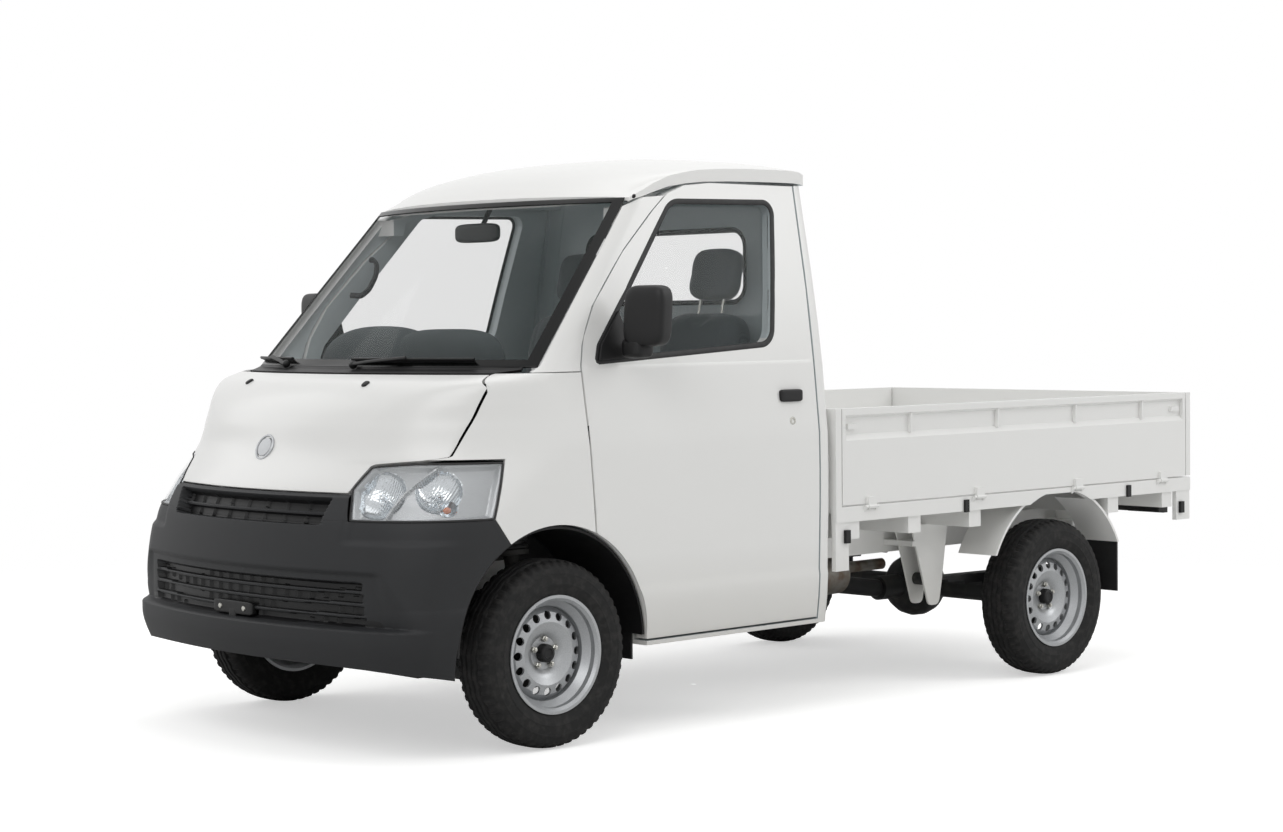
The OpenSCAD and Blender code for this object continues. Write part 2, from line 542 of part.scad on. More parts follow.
// Wipers: pivot x, blade middle x, blade half length
WIPERS = [[-390, -560, 190], [60, 300, 270]];
module wipers() {
  raked() color(black) for (w = WIPERS) {
    p = skin(1240, t_of_x(1240, w[0]));
    arm = ramp(min(w[0], w[1]), max(w[0], w[1]), 5);
    n = skin_normal(1240, t_of_x(1240, w[0]));
    translate(p + 3.2 * n) rotate([atan2(-n.y, n.z), 0, 0]) cylinder(h = 22, r = 12);
    between([for (z = [1256, 1270]) [for (u = ramp(-1, 1, 6)) lifted([z, t_of_x(z, w[1] + u * w[2])], 20)]],
      [for (z = [1256, 1270]) [for (u = ramp(-1, 1, 6)) lifted([z, t_of_x(z, w[1] + u * w[2])], 0.9)]]);
    between([for (z = [1246, 1262]) [for (x = arm) lifted([z, t_of_x(z, x)], 26)]],
      [for (z = [1246, 1262]) [for (x = arm) lifted([z, t_of_x(z, x)], 12)]]);
  }
}
// Liners over the front wheels
liner_t = 8;
module wheelhouses() {
  liner_in = rails_x + rail_w / 2 + seat;
  raked() color(black) both_sides()
    difference() {
      front_arch(arch_r - 6, liner_in, half_w - 24);
      front_arch(arch_r - 6 - liner_t, liner_in + liner_t, half_w);
      block([400, -95, 500], [pin_x(top_z) + 95, 95, 800]);
      block([400, -800, -200], [half_w + 20, 800, 340]);
    }
}

// Running gear, level with the ground
// Engine and gearbox in one plain block
module engine() {
  raked() color("gray") {
    block([-230, 535, 380], [230, 900, 740]);
    side_cut([[850, 400], [1180, 400], [1180, 530], [850, 600]], -120, 120);
    block([-150, 580, 300], [150, 840, 390]);
    block([-rails_x + rail_w / 2 + seat, 660, rail_z + 20], [rails_x - rail_w / 2 - seat, 730, rail_z + 60]);
  }
}
module radiator() {
  raked() color(black) {
    block([-300, -610, 400], [300, -560, 780]);
    block([-340, -560, 700], [340, -545, 740]);
    for (s = [-1, 1]) block([s * 320 - 25, -570, 500], [s * 320 + 25, FRAME_CROSS[0] - 30 - seat, 545]);
  }
}
module exhaust() {
  raked() color("silver") {
    rod_y(330, 1300, 1850, 400, 80);
    rod_y(330, 1150, 1310, 420, 26);
    rod_y(350, 1840, 2100, 420, 22);
    for (y = [1400, 1700]) block([300, y, 470], [rails_x - rail_w / 2 - seat, y + 40, 500]);
    block([260, 1150, 410], [340, 1200, 440]);
    block([140, 1120, 405], [270, 1180, 440]);
  }
}
module fuel_tank() {
  raked() color(black) {
    block([-720, cab_back + 132, 330], [-470, wheelbase - 690, 560]);
    for (y = [cab_back + 150, wheelbase - 750])
      block([-600, y, 550], [-rails_x - rail_w / 2 - seat, y + 40, 590]);
  }
}

rails_x = 430;
rail_w = 60;
rail_h = 112;
rail_z = rail_top - rail_h;
FRAME_CROSS = [-500, -180, 300, cab_back - 48, wheelbase - 850, wheelbase - 400, wheelbase + 430, bed_back - 100];
axle_y = wheelbase;
eye_front = wheelbase - 535;
eye_rear = wheelbase + 480;
spring_x = 560;
module hanger(y, z, top) {
  for (x = [spring_x - 46 - seat, spring_x + 38 + seat])
    side_cut(rounded([[y - 130, top, 0], [y + 85, top, 0], [y + 48, z + 60, 30], [y + 30, z - 26, 24],
      [y - 30, z - 26, 24]], 3), x, x + 8);
}
module frame() {
  raked() color(black) {
    both_sides() {
      block([rails_x - rail_w / 2, 100 - front_overhang, rail_z], [rails_x + rail_w / 2, max(bed_back - 70, eye_rear + 70), rail_z + rail_h]);
      hanger(eye_front, 300, rail_z + rail_h);
      block([rails_x + rail_w / 2 - bite, eye_front - 126, rail_z + 30], [spring_x + 46, eye_front + 50, rail_z + 50]);
      hanger(eye_rear, 390, rail_z + rail_h);
      block([rails_x + rail_w / 2 - bite, eye_rear - 126, rail_z + 50], [spring_x + 46, eye_rear + 60, rail_z + 70]);
    }
    for (y = FRAME_CROSS) block([-rails_x, y - 30, rail_z + 20], [rails_x, y + 30, rail_z + 90]);
  }
}
// Towing eyes under the frame's front and rear ends
tow_r = 14;
module tow_eye(y) {
  difference() {
    union() {
      rod_x(-8, 8, y, rail_z - 40, 34);
      block([-8, y - 34, rail_z - 40], [8, y + 34, rail_z + 20]);
    }
    rod_x(-20, 20, y, rail_z - 40, tow_r);
  }
}
module tow_eyes() { raked() color(black) for (y = [FRAME_CROSS[0], FRAME_CROSS[7]]) tow_eye(y); }

hub_gap = 3;
hub_out = 30;
// Rear axle with its stub ends
module rear_axle() {
  placed() color(black) {
    rod_x(-wheel_x + 95, wheel_x - 95, axle_y, tyre_r, 42);
    rod_x(-wheel_x - hub_out, wheel_x + hub_out, axle_y, tyre_r, spindle_r);
    translate([60, axle_y, tyre_r]) rotate([0, 90, 0]) rotate_extrude()
      polygon(concat([[0, -125]], [for (a = ramp(-72, 72, 8)) 130 * [cos(a), sin(a)]], [[0, 125]]));
    rod_y(60, axle_y - 240, axle_y, tyre_r, 50);
    both_sides() rod_x(wheel_x - 100, wheel_x - 62, axle_y, tyre_r, 120);
    both_sides() block([spring_x - 30, axle_y - 36, tyre_r + 20], [spring_x + 30, axle_y + 36, tyre_r + 50 - seat]);
  }
}
module prop_shaft() {
  p = [60, 1191, 470];
  q = [60, axle_y - 245.3, tyre_r];
  d = q - p;
  placed() color(black) translate(p) rotate([-atan2(d.y, d.z), 0, 0]) cylinder(h = norm(d), r = 36);
}
// Leaf packs: half length and height of each leaf
LEAVES = [[0, 505], [12, 420], [24, 320], [36, 210]];
module leaf_springs() {
  placed() color(black) both_sides() {
    for (l = LEAVES)
      block([spring_x - 30, axle_y - l[1] - (l[0] == 0 ? 30 : 0), tyre_r + 98 - l[0] - 12],
        [spring_x + 30, axle_y + l[1] - (l[0] == 0 ? 25 : 0), tyre_r + 98 - l[0] + 0.5]);
    rod_x(spring_x - 38, spring_x + 38, axle_y - 535, tyre_r + 92, 24);
    rod_x(spring_x - 38, spring_x + 38, axle_y + 480, tyre_r + 92, 24);
    for (y = [-50, 50], x = [-38, 38]) rod_z(spring_x + x, axle_y + y, tyre_r + 20, tyre_r + 110, 7);
    block([spring_x - 48, axle_y - 60, tyre_r + 98], [spring_x + 48, axle_y + 60, tyre_r + 110]);
    translate([spring_x - 70, axle_y + 100, tyre_r + 30]) rotate([-14, 0, 0]) cylinder(h = 225, r = 25);
    block([spring_x - 95, axle_y + 48, tyre_r + 20], [spring_x - 34, axle_y + 130, tyre_r + 48]);
    rod_x(rails_x + rail_w / 2 + seat, spring_x - 70, axle_y + 150, tyre_r + 235, 10);
  }
}

// Front suspension: kingpin line from the lower ball joint to the top mount
ball_x = wheel_x - 92;
ball_z = 212;
pin_tilt = 8.7;
function pin_x(z) = ball_x - (z - ball_z) * tan(pin_tilt);
pin_low_r = 12;
rod_r = 11;
seat_z = 640;
top_z = 830;
arm_y = -130;
arm_z = 262;
module knuckle() {
  color("silver") {
    // Stub axle and upright
    rod_x(wheel_x - 96, wheel_x + hub_out, 0, tyre_r, spindle_r);
    rod_x(wheel_x - 140, wheel_x - 50, 0, tyre_r, 46);
    rod_x(wheel_x - 62, wheel_x - 48, 0, tyre_r, 122);
    translate([ball_x, 0, ball_z]) rotate([0, -pin_tilt, 0]) {
      difference() {
        translate([0, 0, 6]) cylinder(h = 60, r = 26);
        translate([0, 0, -10]) cylinder(h = 60, r = pin_low_r + running);
      }
      translate([0, 0, 60]) cylinder(h = 60, r = 34);
      // Damper tube, spring seat and rod
      translate([0, 0, 60]) cylinder(h = 360, r = 26);
      translate([0, 0, 412]) cylinder(h = 16, r = 58);
      translate([0, 0, 420]) cylinder(h = 140, r = rod_r);
    }
    // Steering arm
    translate([0, 0, arm_z]) linear_extrude(18)
      polygon([[ball_x - 34, 10], [ball_x - 34, -20], [ball_x - 46, arm_y], [ball_x - 16, arm_y], [ball_x + 14, -20],
        [ball_x + 14, 10]]);
    rod_z(ball_x - 31, arm_y, arm_z, arm_z + 18, 17);
  }
}
module knuckle_left() { placed() knuckle(); }
module knuckle_right() { placed() mirror([1, 0, 0]) knuckle(); }
module front_suspension() {
  placed() color(black) {
    both_sides() {
      translate([ball_x, 0, ball_z]) rotate([0, -pin_tilt, 0]) {
        translate([0, 0, -20]) cylinder(h = 68, r = pin_low_r);
        translate([0, 0, -24]) cylinder(h = 26, r = 24);
        // Coil spring and top mount
        difference() {
          union() {
            for (k = [0:4]) translate([0, 0, 438 + 27 * k]) rotate_extrude($fn = 32) translate([52, 0]) circle(r = 8, $fn = 8);
            translate([0, 0, 434]) cylinder(h = 146, r = 46);
            translate([0, 0, 568]) cylinder(h = 14, r = 72);
          }
          translate([0, 0, 400]) cylinder(h = 260, r = rod_r + running);
        }
      }
      // Lower arm and body mount
      translate([0, 0, ball_z - 28]) linear_extrude(22)
        polygon([[ball_x + 6, -22], [ball_x + 6, 22], [ball_x - 60, 34], [380, 115], [380, 55], [ball_x - 110, 0], [380, -20],
          [380, -58]]);
      block([rails_x - rail_w / 2, -60, 780], [pin_x(top_z) + 60, 60, 800]);
      block([rails_x - rail_w / 2, -60, rail_top + 1.2], [rails_x + rail_w / 2, 60, 800]);
      block([rails_x - rail_w / 2, -60, ball_z - 20], [rails_x + rail_w / 2, 60, rail_z - 1.2]);
    }
    block([-rails_x, -60, ball_z - 20], [rails_x, 120, ball_z + 20]);
    block([-260, arm_y - 20, ball_z - 20], [260, 0, ball_z + 10]);
    // Steering gear housing
    difference() {
      union() {
        rod_x(-260, 200, arm_y, arm_z + 40, 30);
        for (x = [-200, 160]) block([x - 15, arm_y - 20, ball_z - 10], [x + 15, arm_y + 20, arm_z + 40]);
      }
      rod_x(-400, 400, arm_y, arm_z + 40, 13 + running);
    }
  }
}
module steering_rack() {
  placed() color("silver") {
    rod_x(-380, 380, arm_y, arm_z + 40, 13);
    both_sides() {
      rod_x(376, ball_x - 31, arm_y, arm_z + 40, 9);
      rod_z(ball_x - 31, arm_y, arm_z + 34, arm_z + 52, 14);
    }
  }
}

// Wheels: tyre profile [outwards from the middle, radius], rim profile and vent holes
hub_bore = spindle_r + running;
bead_r = rim_d / 2 - 14;
module tyre_body() {
  h = tyre_w / 2;
  rotate([0, 90, 0]) rotate_extrude($fn = 64)
    polygon([[bead_r, -h + 26], [bead_r + 10, -h + 18], [bead_r + 40, -h + 3], [tyre_r - 60, -h],
      [tyre_r - 22, -h + 8], [tyre_r - 7, -h + 22], [tyre_r - 2, -h + 40], [tyre_r, -22],
      [tyre_r, 22], [tyre_r - 2, h - 40], [tyre_r - 7, h - 22], [tyre_r - 22, h - 8],
      [tyre_r - 60, h], [bead_r + 40, h - 3], [bead_r + 10, h - 18], [bead_r, h - 26],
      [bead_r, h - 42], [bead_r + 40, h - 16], [tyre_r - 60, h - 11], [tyre_r - 28, h - 22], [tyre_r - 18, 30],
      [tyre_r - 18, -30], [tyre_r - 28, -h + 22], [tyre_r - 60, -h + 11], [bead_r + 40, -h + 16],
      [bead_r, -h + 42]]);
}
disc_x = 14;
module rim_body() {
  h = tyre_w / 2 - 18;
  rotate([0, 90, 0]) difference() {
    union() {
      // Barrel with its flanges
      rotate_extrude($fn = 64) polygon([[bead_r, -h + 24], [bead_r - 18, -h + 40], [bead_r - 18, h - 46],
        [bead_r, h - 24], [bead_r, h - 6], [bead_r + 14, h + 4], [bead_r + 14, h + 8],
        [bead_r + 4, h + 8], [bead_r - 5, h - 2], [bead_r - 6, h - 20], [bead_r - 25, h - 44],
        [bead_r - 25, -h + 38], [bead_r - 6, -h + 20], [bead_r + 4, -h - 8], [bead_r + 14, -h - 8],
        [bead_r + 14, -h - 4], [bead_r, -h + 2]]);
      // Dished disc
      rotate_extrude($fn = 64) polygon([[spindle_r, disc_x - 46], [60, disc_x - 46], [78, disc_x], [104, disc_x + 12],
        [132, disc_x + 4], [bead_r - 22, disc_x - 24], [bead_r - 20, disc_x - 18], [136, disc_x + 12], [104, disc_x + 20],
        [72, disc_x + 8], [54, disc_x - 8], [spindle_r, disc_x - 8]]);
    }
    translate([0, 0, -100]) cylinder(h = 220, r = hub_bore);
    for (k = [0:15]) rotate([0, 0, k * 22.5]) translate([126, 0, -60]) cylinder(h = 160, r = 14, $fn = 24);
  }
}
module tyre_front_left() { placed() color(black) translate([wheel_x, 0, tyre_r]) tyre_body(); }
module tyre_front_right() { placed() color(black) mirror([1, 0, 0]) translate([wheel_x, 0, tyre_r]) tyre_body(); }
module tyre_rear_left() { placed() color(black) translate([wheel_x, axle_y, tyre_r]) tyre_body(); }
module tyre_rear_right() { placed() color(black) mirror([1, 0, 0]) translate([wheel_x, axle_y, tyre_r]) tyre_body(); }
module rim_front_left() { placed() color("silver") translate([wheel_x, 0, tyre_r]) rim_body(); }
module rim_front_right() { placed() color("silver") mirror([1, 0, 0]) translate([wheel_x, 0, tyre_r]) rim_body(); }
module rim_rear_left() { placed() color("silver") translate([wheel_x, axle_y, tyre_r]) rim_body(); }
module rim_rear_right() { placed() color("silver") mirror([1, 0, 0]) translate([wheel_x, axle_y, tyre_r]) rim_body(); }

// Load bed
bed_wall = 30;
bed_gap = 5;
gate_y0 = bed_front + bed_wall + bed_gap;
gate_y1 = bed_back - gate_t - bed_gap;
gate_out = half_w - 2;
gate_axis_x = gate_out + gate_hinge_out;
gate_axis_z = bed_z - 4;
sill_h = 56;
BED_CROSS = [0.045, 0.2, 0.36, 0.76, 0.93];
// Side gate hinges as shares of its length
GATE_HINGES = [0.07, 0.36, 0.65, 0.92];
tail_hinges = [-600, 0, 600];
module hinge_lugs() {
  for (e = [-1, 1]) translate([0, e * 30, 0]) rotate([90, 0, 0]) linear_extrude(12, center = true)
    polygon([[-gate_hinge_out - 2, -22], [0, -7], [5, -5], [7, 0], [5, 5], [0, 6], [-gate_hinge_out + 1, 6], [-gate_hinge_out + 1, 0],
      [-gate_hinge_out - 2, 0]]);
  rotate([90, 0, 0]) cylinder(h = 72, r = gate_pin_r, center = true);
}
// Room in the bed's edge for a gate's hinge barrel
module hinge_pocket() { rotate([90, 0, 0]) cylinder(h = 48, r = gate_barrel_r + 5, center = true); }
module bed_floor() {
  raked() color(white) {
    difference() {
      union() {
        block([-gate_out, bed_front, bed_z - 20], [gate_out, bed_back, bed_z]);
        both_sides() {
          difference() {
            block([gate_out - 26, bed_front, bed_z - sill_h], [gate_out, bed_back, bed_z - 10]);
            rod_x(gate_out - 60, gate_out + 20, axle_y - 18, 273, 430);
          }
          block([gate_out - 24, bed_front, 480], [gate_out - 4, bed_front + 70, bed_z - 15]);
          block([gate_out - 24, bed_back - 95, 535], [gate_out - 4, bed_back, bed_z - 15]);
        }
        for (c = BED_CROSS) block([-gate_out + 10, bed_front + c * bed_len - 35, rail_top + seat],
          [gate_out - 10, bed_front + c * bed_len + 35, bed_z - 12]);
        block([-gate_out + 8, bed_back - 26, bed_z - sill_h], [gate_out - 8, bed_back, bed_z - 10]);
      }
      both_sides() for (h = GATE_HINGES)
        translate([gate_axis_x, gate_y0 + h * (gate_y1 - gate_y0), gate_axis_z]) hinge_pocket();
      for (x = tail_hinges) translate([x, bed_back + gate_hinge_out, gate_axis_z]) rotate([0, 0, 90]) hinge_pocket();
    }
    both_sides() for (h = GATE_HINGES)
      translate([gate_axis_x, gate_y0 + h * (gate_y1 - gate_y0), gate_axis_z]) hinge_lugs();
    for (x = tail_hinges) translate([x, bed_back + gate_hinge_out, gate_axis_z]) rotate([0, 0, 90]) hinge_lugs();
  }
}
module bed_front_wall() {
  raked() color(white) {
    block([-gate_out, bed_front, bed_z], [gate_out, bed_front + bed_wall, gate_top]);
    for (x = [-500, 500]) block([x - 20, bed_front + 2, gate_top - 1], [x + 20, bed_front + 28, gate_top + 60]);
    block([-520, bed_front + 2, gate_top + 50], [520, bed_front + 28, gate_top + 80]);
  }
}
// Section of a drop side: depth from the outer face, height
GATE = [[0, 6], [0, 240], [10, 254], [18, 262], [18, 322], [0, 332], [0, gate_h], [gate_t, gate_h], [gate_t, 6]];
module gate_panel(len) {
  rotate([90, 0, 0]) linear_extrude(len, center = true) polygon([for (p = GATE) [-p[0], p[1]]]);
  for (e = [-1, 1]) translate([-gate_t, e * (len / 2 - 9) - 9, 6]) cube([gate_t, 18, gate_h - 6]);
}
// Barrel of one gate hinge, at the pin
module gate_barrel() {
  difference() {
    union() {
      rotate([90, 0, 0]) cylinder(h = 44, r = gate_barrel_r, center = true);
      translate([-gate_hinge_out - 2, -22, 2]) cube([gate_hinge_out + 8, 44, 34]);
    }
    rotate([90, 0, 0]) cylinder(h = 60, r = gate_pin_r + running, center = true);
  }
}
module side_gate() {
  mid = (gate_y0 + gate_y1) / 2;
  translate([gate_out, mid, bed_z]) gate_panel(gate_y1 - gate_y0);
  for (h = GATE_HINGES) translate([gate_axis_x, gate_y0 + h * (gate_y1 - gate_y0), gate_axis_z]) gate_barrel();
  // Latches and rope hooks
  for (h = [0.03, 0.97]) block([gate_out - 26, gate_y0 + h * (gate_y1 - gate_y0) - 26, bed_z + 280],
    [gate_out - 6, gate_y0 + h * (gate_y1 - gate_y0) + 26, bed_z + 300]);
  for (h = [0.18, 0.42, 0.65, 0.86]) block([gate_out - 26, gate_y0 + h * (gate_y1 - gate_y0) - 4, bed_z + 256],
    [gate_out - 2, gate_y0 + h * (gate_y1 - gate_y0) + 4, bed_z + 328]);
}
module gate_left() { raked() color(white) side_gate(); }
module gate_right() { raked() color(white) mirror([1, 0, 0]) side_gate(); }
module tailgate() {
  raked() color(white) {
    translate([0, bed_back, bed_z]) rotate([0, 0, 90]) gate_panel(2 * gate_out);
    for (x = tail_hinges) translate([x, bed_back + gate_hinge_out, gate_axis_z]) rotate([0, 0, 90]) gate_barrel();
  }
}
// Rubber stops for the lowered gates
// Share of the bed's length, height, set-in
BUFFERS = [[0.025, 606, 4], [0.33, 678, 0], [0.8, 678, 0], [0.97, 590, 4]];
module gate_buffers() {
  raked() color(black) both_sides() for (b = BUFFERS)
    block([gate_out - b[2] + seat, bed_front + b[0] * bed_len - 12, b[1] - 26], [gate_out + 9, bed_front + b[0] * bed_len + 12, b[1] + 22]);
}
module rear_mudguards() {
  raked() color(black) both_sides() difference() {
    rod_x(half_w - 200, half_w - 14, axle_y - 16, 273, 446);
    rod_x(half_w - 260, half_w + 20, axle_y - 16, 273, 436);
    block([0, 0, -300], [half_w + 60, 6000, 470]);
    block([0, 0, bed_z - sill_h - seat], [half_w + 60, 6000, 3000]);
  }
}
module mud_flaps() {
  raked() color(black) both_sides() {
    block([half_w - 190, axle_y + 375, 268], [half_w - 20, axle_y + 383, 470 - seat]);
    block([half_w - sill_in, arch_y + arch_r - 4 - seat, 250], [half_w - 92, arch_y + arch_r + 4 - seat, 420]);
  }
}
module rear_lamps() {
  raked() color("firebrick") {
    block([-720, bed_back - 70 + seat, 560], [720, bed_back - 36, 640]);
    both_sides() block([540, bed_back - 38, 556], [720, bed_back - 6, 644]);
  }
}

frame();
tow_eyes();
cab_floor();
cab_side_left();
cab_side_right();
cab_back();
roof();
cowl();
fenders();
front_bumper();
headlamps();
headlamp_lenses();
cab_glass();
dashboard();
steering_wheel();
seats();
cabin_fittings();
wipers();
wheelhouses();
engine();
radiator();
exhaust();
fuel_tank();
prop_shaft();
rear_axle();
leaf_springs();
front_suspension();
bed_floor();
bed_front_wall();
rear_mudguards();
mud_flaps();
rear_lamps();
gate_buffers();
hood();
door_left();
door_left_glass();
door_left_fittings();
door_right();
door_right_glass();
door_right_fittings();
gate_left();
gate_right();
tailgate();
steering_rack();
knuckle_left();
knuckle_right();
tyre_front_left();
tyre_front_right();
tyre_rear_left();
tyre_rear_right();
rim_front_left();
rim_front_right();
rim_rear_left();
rim_rear_right();
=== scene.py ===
import math
import bpy
import numpy as np
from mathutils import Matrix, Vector


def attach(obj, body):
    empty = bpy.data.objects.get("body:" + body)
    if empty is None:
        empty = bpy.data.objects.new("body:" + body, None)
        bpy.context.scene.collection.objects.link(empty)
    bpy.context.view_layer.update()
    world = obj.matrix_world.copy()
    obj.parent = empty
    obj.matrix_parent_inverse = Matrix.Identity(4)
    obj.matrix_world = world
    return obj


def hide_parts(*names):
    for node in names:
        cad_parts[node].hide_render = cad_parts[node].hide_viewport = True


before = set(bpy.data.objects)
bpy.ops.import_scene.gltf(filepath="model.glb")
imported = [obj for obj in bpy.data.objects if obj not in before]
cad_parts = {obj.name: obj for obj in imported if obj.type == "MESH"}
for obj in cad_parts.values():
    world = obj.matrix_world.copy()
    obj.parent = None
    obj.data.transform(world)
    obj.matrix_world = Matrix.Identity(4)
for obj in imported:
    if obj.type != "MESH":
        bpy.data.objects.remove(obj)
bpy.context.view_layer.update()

# Studio: a camera at eye height off the truck's left front corner, a pale floor that fades into a white
# surround, and large soft lamps overhead, in front and behind.
AXLE_TO_MIDDLE = 1405.803
CAMERA_PLACE = np.array([6829.0, -5262.1 - AXLE_TO_MIDDLE, 1325.2])
CAMERA_YAW, CAMERA_PITCH = math.radians(46.9), math.radians(-1.7)
SENSOR = 36
LENS = 2463.4 / 1283 * SENSOR  # the focal length in pixels over the picture's width
FLOOR_HEX, SURROUND_HEX = "F1F1F0", "FFFFFF"
FLOOR_SOLID, FLOOR_FADED, FLOOR_GLOW = 3.0, 6.5, 0.5
SURROUND_LIGHT, SURROUND_SEEN = 0.42, 1.0
LAMPS = [  # place, aimed at, size and power
    ((3.5, -6.5, 5.5), (0, -1, 0.8), 4.5, 150), ((-5.5, -4.0, 4.5), (0, -1, 0.8), 4.0, 60),
    ((5.5, 4.5, 5.0), (0, 1, 0.8), 4.0, 140), ((0, 0.5, 6.5), (0, 0, 0), 6.0, 105)]


def linear(code):
    """Linear red, green, blue and alpha of an sRGB hex colour."""
    c = np.array([int(code[k:k + 2], 16) for k in (0, 2, 4)]) / 255
    return (*np.where(c <= 0.04045, c / 12.92, ((c + 0.055) / 1.055) ** 2.4), 1.0)


def node(tree, kind, inputs=None, **settings):
    """Adds a node: settings are its properties, inputs its socket values, or the sockets that feed them."""
    n = tree.nodes.new(kind)
    for name, value in settings.items():
        setattr(n, name, value)
    for name, value in (inputs or {}).items():
        if isinstance(value, bpy.types.NodeSocket):
            tree.links.new(value, n.inputs[name])
        else:
            n.inputs[name].default_value = value
    return n


def finish(name, colour, **sockets):
    """A new material of one Principled shader with these socket values, its tree and that shader."""
    material = bpy.data.materials.new(name)
    material.use_nodes = True
    shader = material.node_tree.nodes["Principled BSDF"]
    shader.inputs["Base Color"].default_value = linear(colour)
    for key, value in sockets.items():
        shader.inputs[key.replace("_", " ")].default_value = value
    return material, material.node_tree, shader


def grid_of(rows, cols):
    """Two arrays over a grid: each point's row value and its column value."""
    return np.meshgrid(rows, cols, indexing="ij")


def once_round(count):
    """Even angles once round a circle."""
    return np.linspace(0, 2 * np.pi, count, endpoint=False)


def surface(name, points, material, wrap=(False, False), keep=None):
    """Mesh of a grid of points, rows by columns by x, y, z in metres. A quad joins each point to the next
    along its row and the same two of the next row; wrap closes rows or columns on themselves, and keep picks
    the quads."""
    rows, cols = points.shape[:2]
    i = np.arange(rows - (not wrap[0]))[:, None]
    j = np.arange(cols - (not wrap[1]))[None, :]
    i2, j2 = (i + 1) % rows, (j + 1) % cols
    quads = np.stack([i * cols + j, i * cols + j2, i2 * cols + j2, i2 * cols + j], -1)
    quads = quads.reshape(-1, 4) if keep is None else quads[keep]
    used, quads = np.unique(quads, return_inverse=True)
    mesh = bpy.data.meshes.new(name)
    mesh.from_pydata(points.reshape(-1, 3)[used], [], quads.reshape(-1, 4))
    mesh.shade_smooth()
    obj = bpy.data.objects.new(name, mesh)
    bpy.context.scene.collection.objects.link(obj)
    mesh.materials.append(material)
    return obj


camera = bpy.data.objects.new("camera", bpy.data.cameras.new("camera"))
bpy.context.scene.collection.objects.link(camera)
bpy.context.scene.camera = camera
camera.data.lens, camera.data.sensor_width = LENS, SENSOR
camera.location = CAMERA_PLACE / 1000
camera.rotation_mode = "QUATERNION"
camera.rotation_quaternion = Vector((
    -math.sin(CAMERA_YAW) * math.cos(CAMERA_PITCH), math.cos(CAMERA_YAW) * math.cos(CAMERA_PITCH),
    math.sin(CAMERA_PITCH))).to_track_quat("-Z", "Y")

bpy.context.scene.view_settings.view_transform = "Standard"
world = bpy.data.worlds.new("surround")
bpy.context.scene.world = world
world.use_nodes = True
tree = world.node_tree
tree.nodes.clear()
ray = node(tree, "ShaderNodeLightPath")
seen = ray.outputs["Is Camera Ray"]
for kind in ("Is Glossy Ray", "Is Transmission Ray"):
    seen = node(tree, "ShaderNodeMath", {0: seen, 1: ray.outputs[kind]}, operation="MAXIMUM").outputs[0]
dim = node(tree, "ShaderNodeBackground", {"Color": linear(SURROUND_HEX), "Strength": SURROUND_LIGHT})
white = node(tree, "ShaderNodeBackground", {"Color": linear(SURROUND_HEX), "Strength": SURROUND_SEEN})
sky = node(tree, "ShaderNodeMixShader", {0: seen, 1: dim.outputs[0], 2: white.outputs[0]})
node(tree, "ShaderNodeOutputWorld", {"Surface": sky.outputs[0]})

# The floor's paint thins out with the distance from the middle, so no edge or horizon shows.
floor_paint, tree, shader = finish("floor_paint", FLOOR_HEX, Roughness=0.9)
place = node(tree, "ShaderNodeTexCoord")
reach = node(tree, "ShaderNodeVectorMath", {0: place.outputs["Object"]}, operation="LENGTH")
thin = node(tree, "ShaderNodeMapRange", {"Value": reach.outputs["Value"], "From Min": FLOOR_SOLID,
            "From Max": FLOOR_FADED, "To Min": 1.0, "To Max": 0.0}, interpolation_type="SMOOTHSTEP")
tree.links.new(thin.outputs[0], shader.inputs["Alpha"])
ray = node(tree, "ShaderNodeLightPath")
glow = node(tree, "ShaderNodeMath", {0: ray.outputs["Is Camera Ray"], 1: FLOOR_GLOW}, operation="MULTIPLY")
shader.inputs["Emission Color"].default_value = linear(SURROUND_HEX)
tree.links.new(glow.outputs[0], shader.inputs["Emission Strength"])
radius, turn = grid_of(np.linspace(0.01, FLOOR_FADED, 30), once_round(96))
disc = np.stack([radius * np.cos(turn), radius * np.sin(turn), radius * 0 - 0.001], -1)
floor = surface("floor", disc, floor_paint, wrap=(False, True))

for k, (at, aim, size, power) in enumerate(LAMPS):
    lamp = bpy.data.objects.new(f"lamp_{k}", bpy.data.lights.new(f"lamp_{k}", "AREA"))
    bpy.context.scene.collection.objects.link(lamp)
    lamp.data.size, lamp.data.energy = size, power
    lamp.location = at
    lamp.rotation_mode = "QUATERNION"
    lamp.rotation_quaternion = (Vector(aim) - Vector(at)).to_track_quat("-Z", "Y")

# Chassis: tow eyes, tank, propeller shaft, axle, springs, arms, steering rack, cab floor and radiator,
# bolted to the ladder frame. All of it is steel dipped in black chassis paint, satin where it is clean and
# dull where road dust has settled.
CHASSIS_HEX, ROAD_DUST_HEX = "1B1C1D", "4A4640"
DUST_PATCH = 60.0
SMOOTH_TURN = math.radians(28)

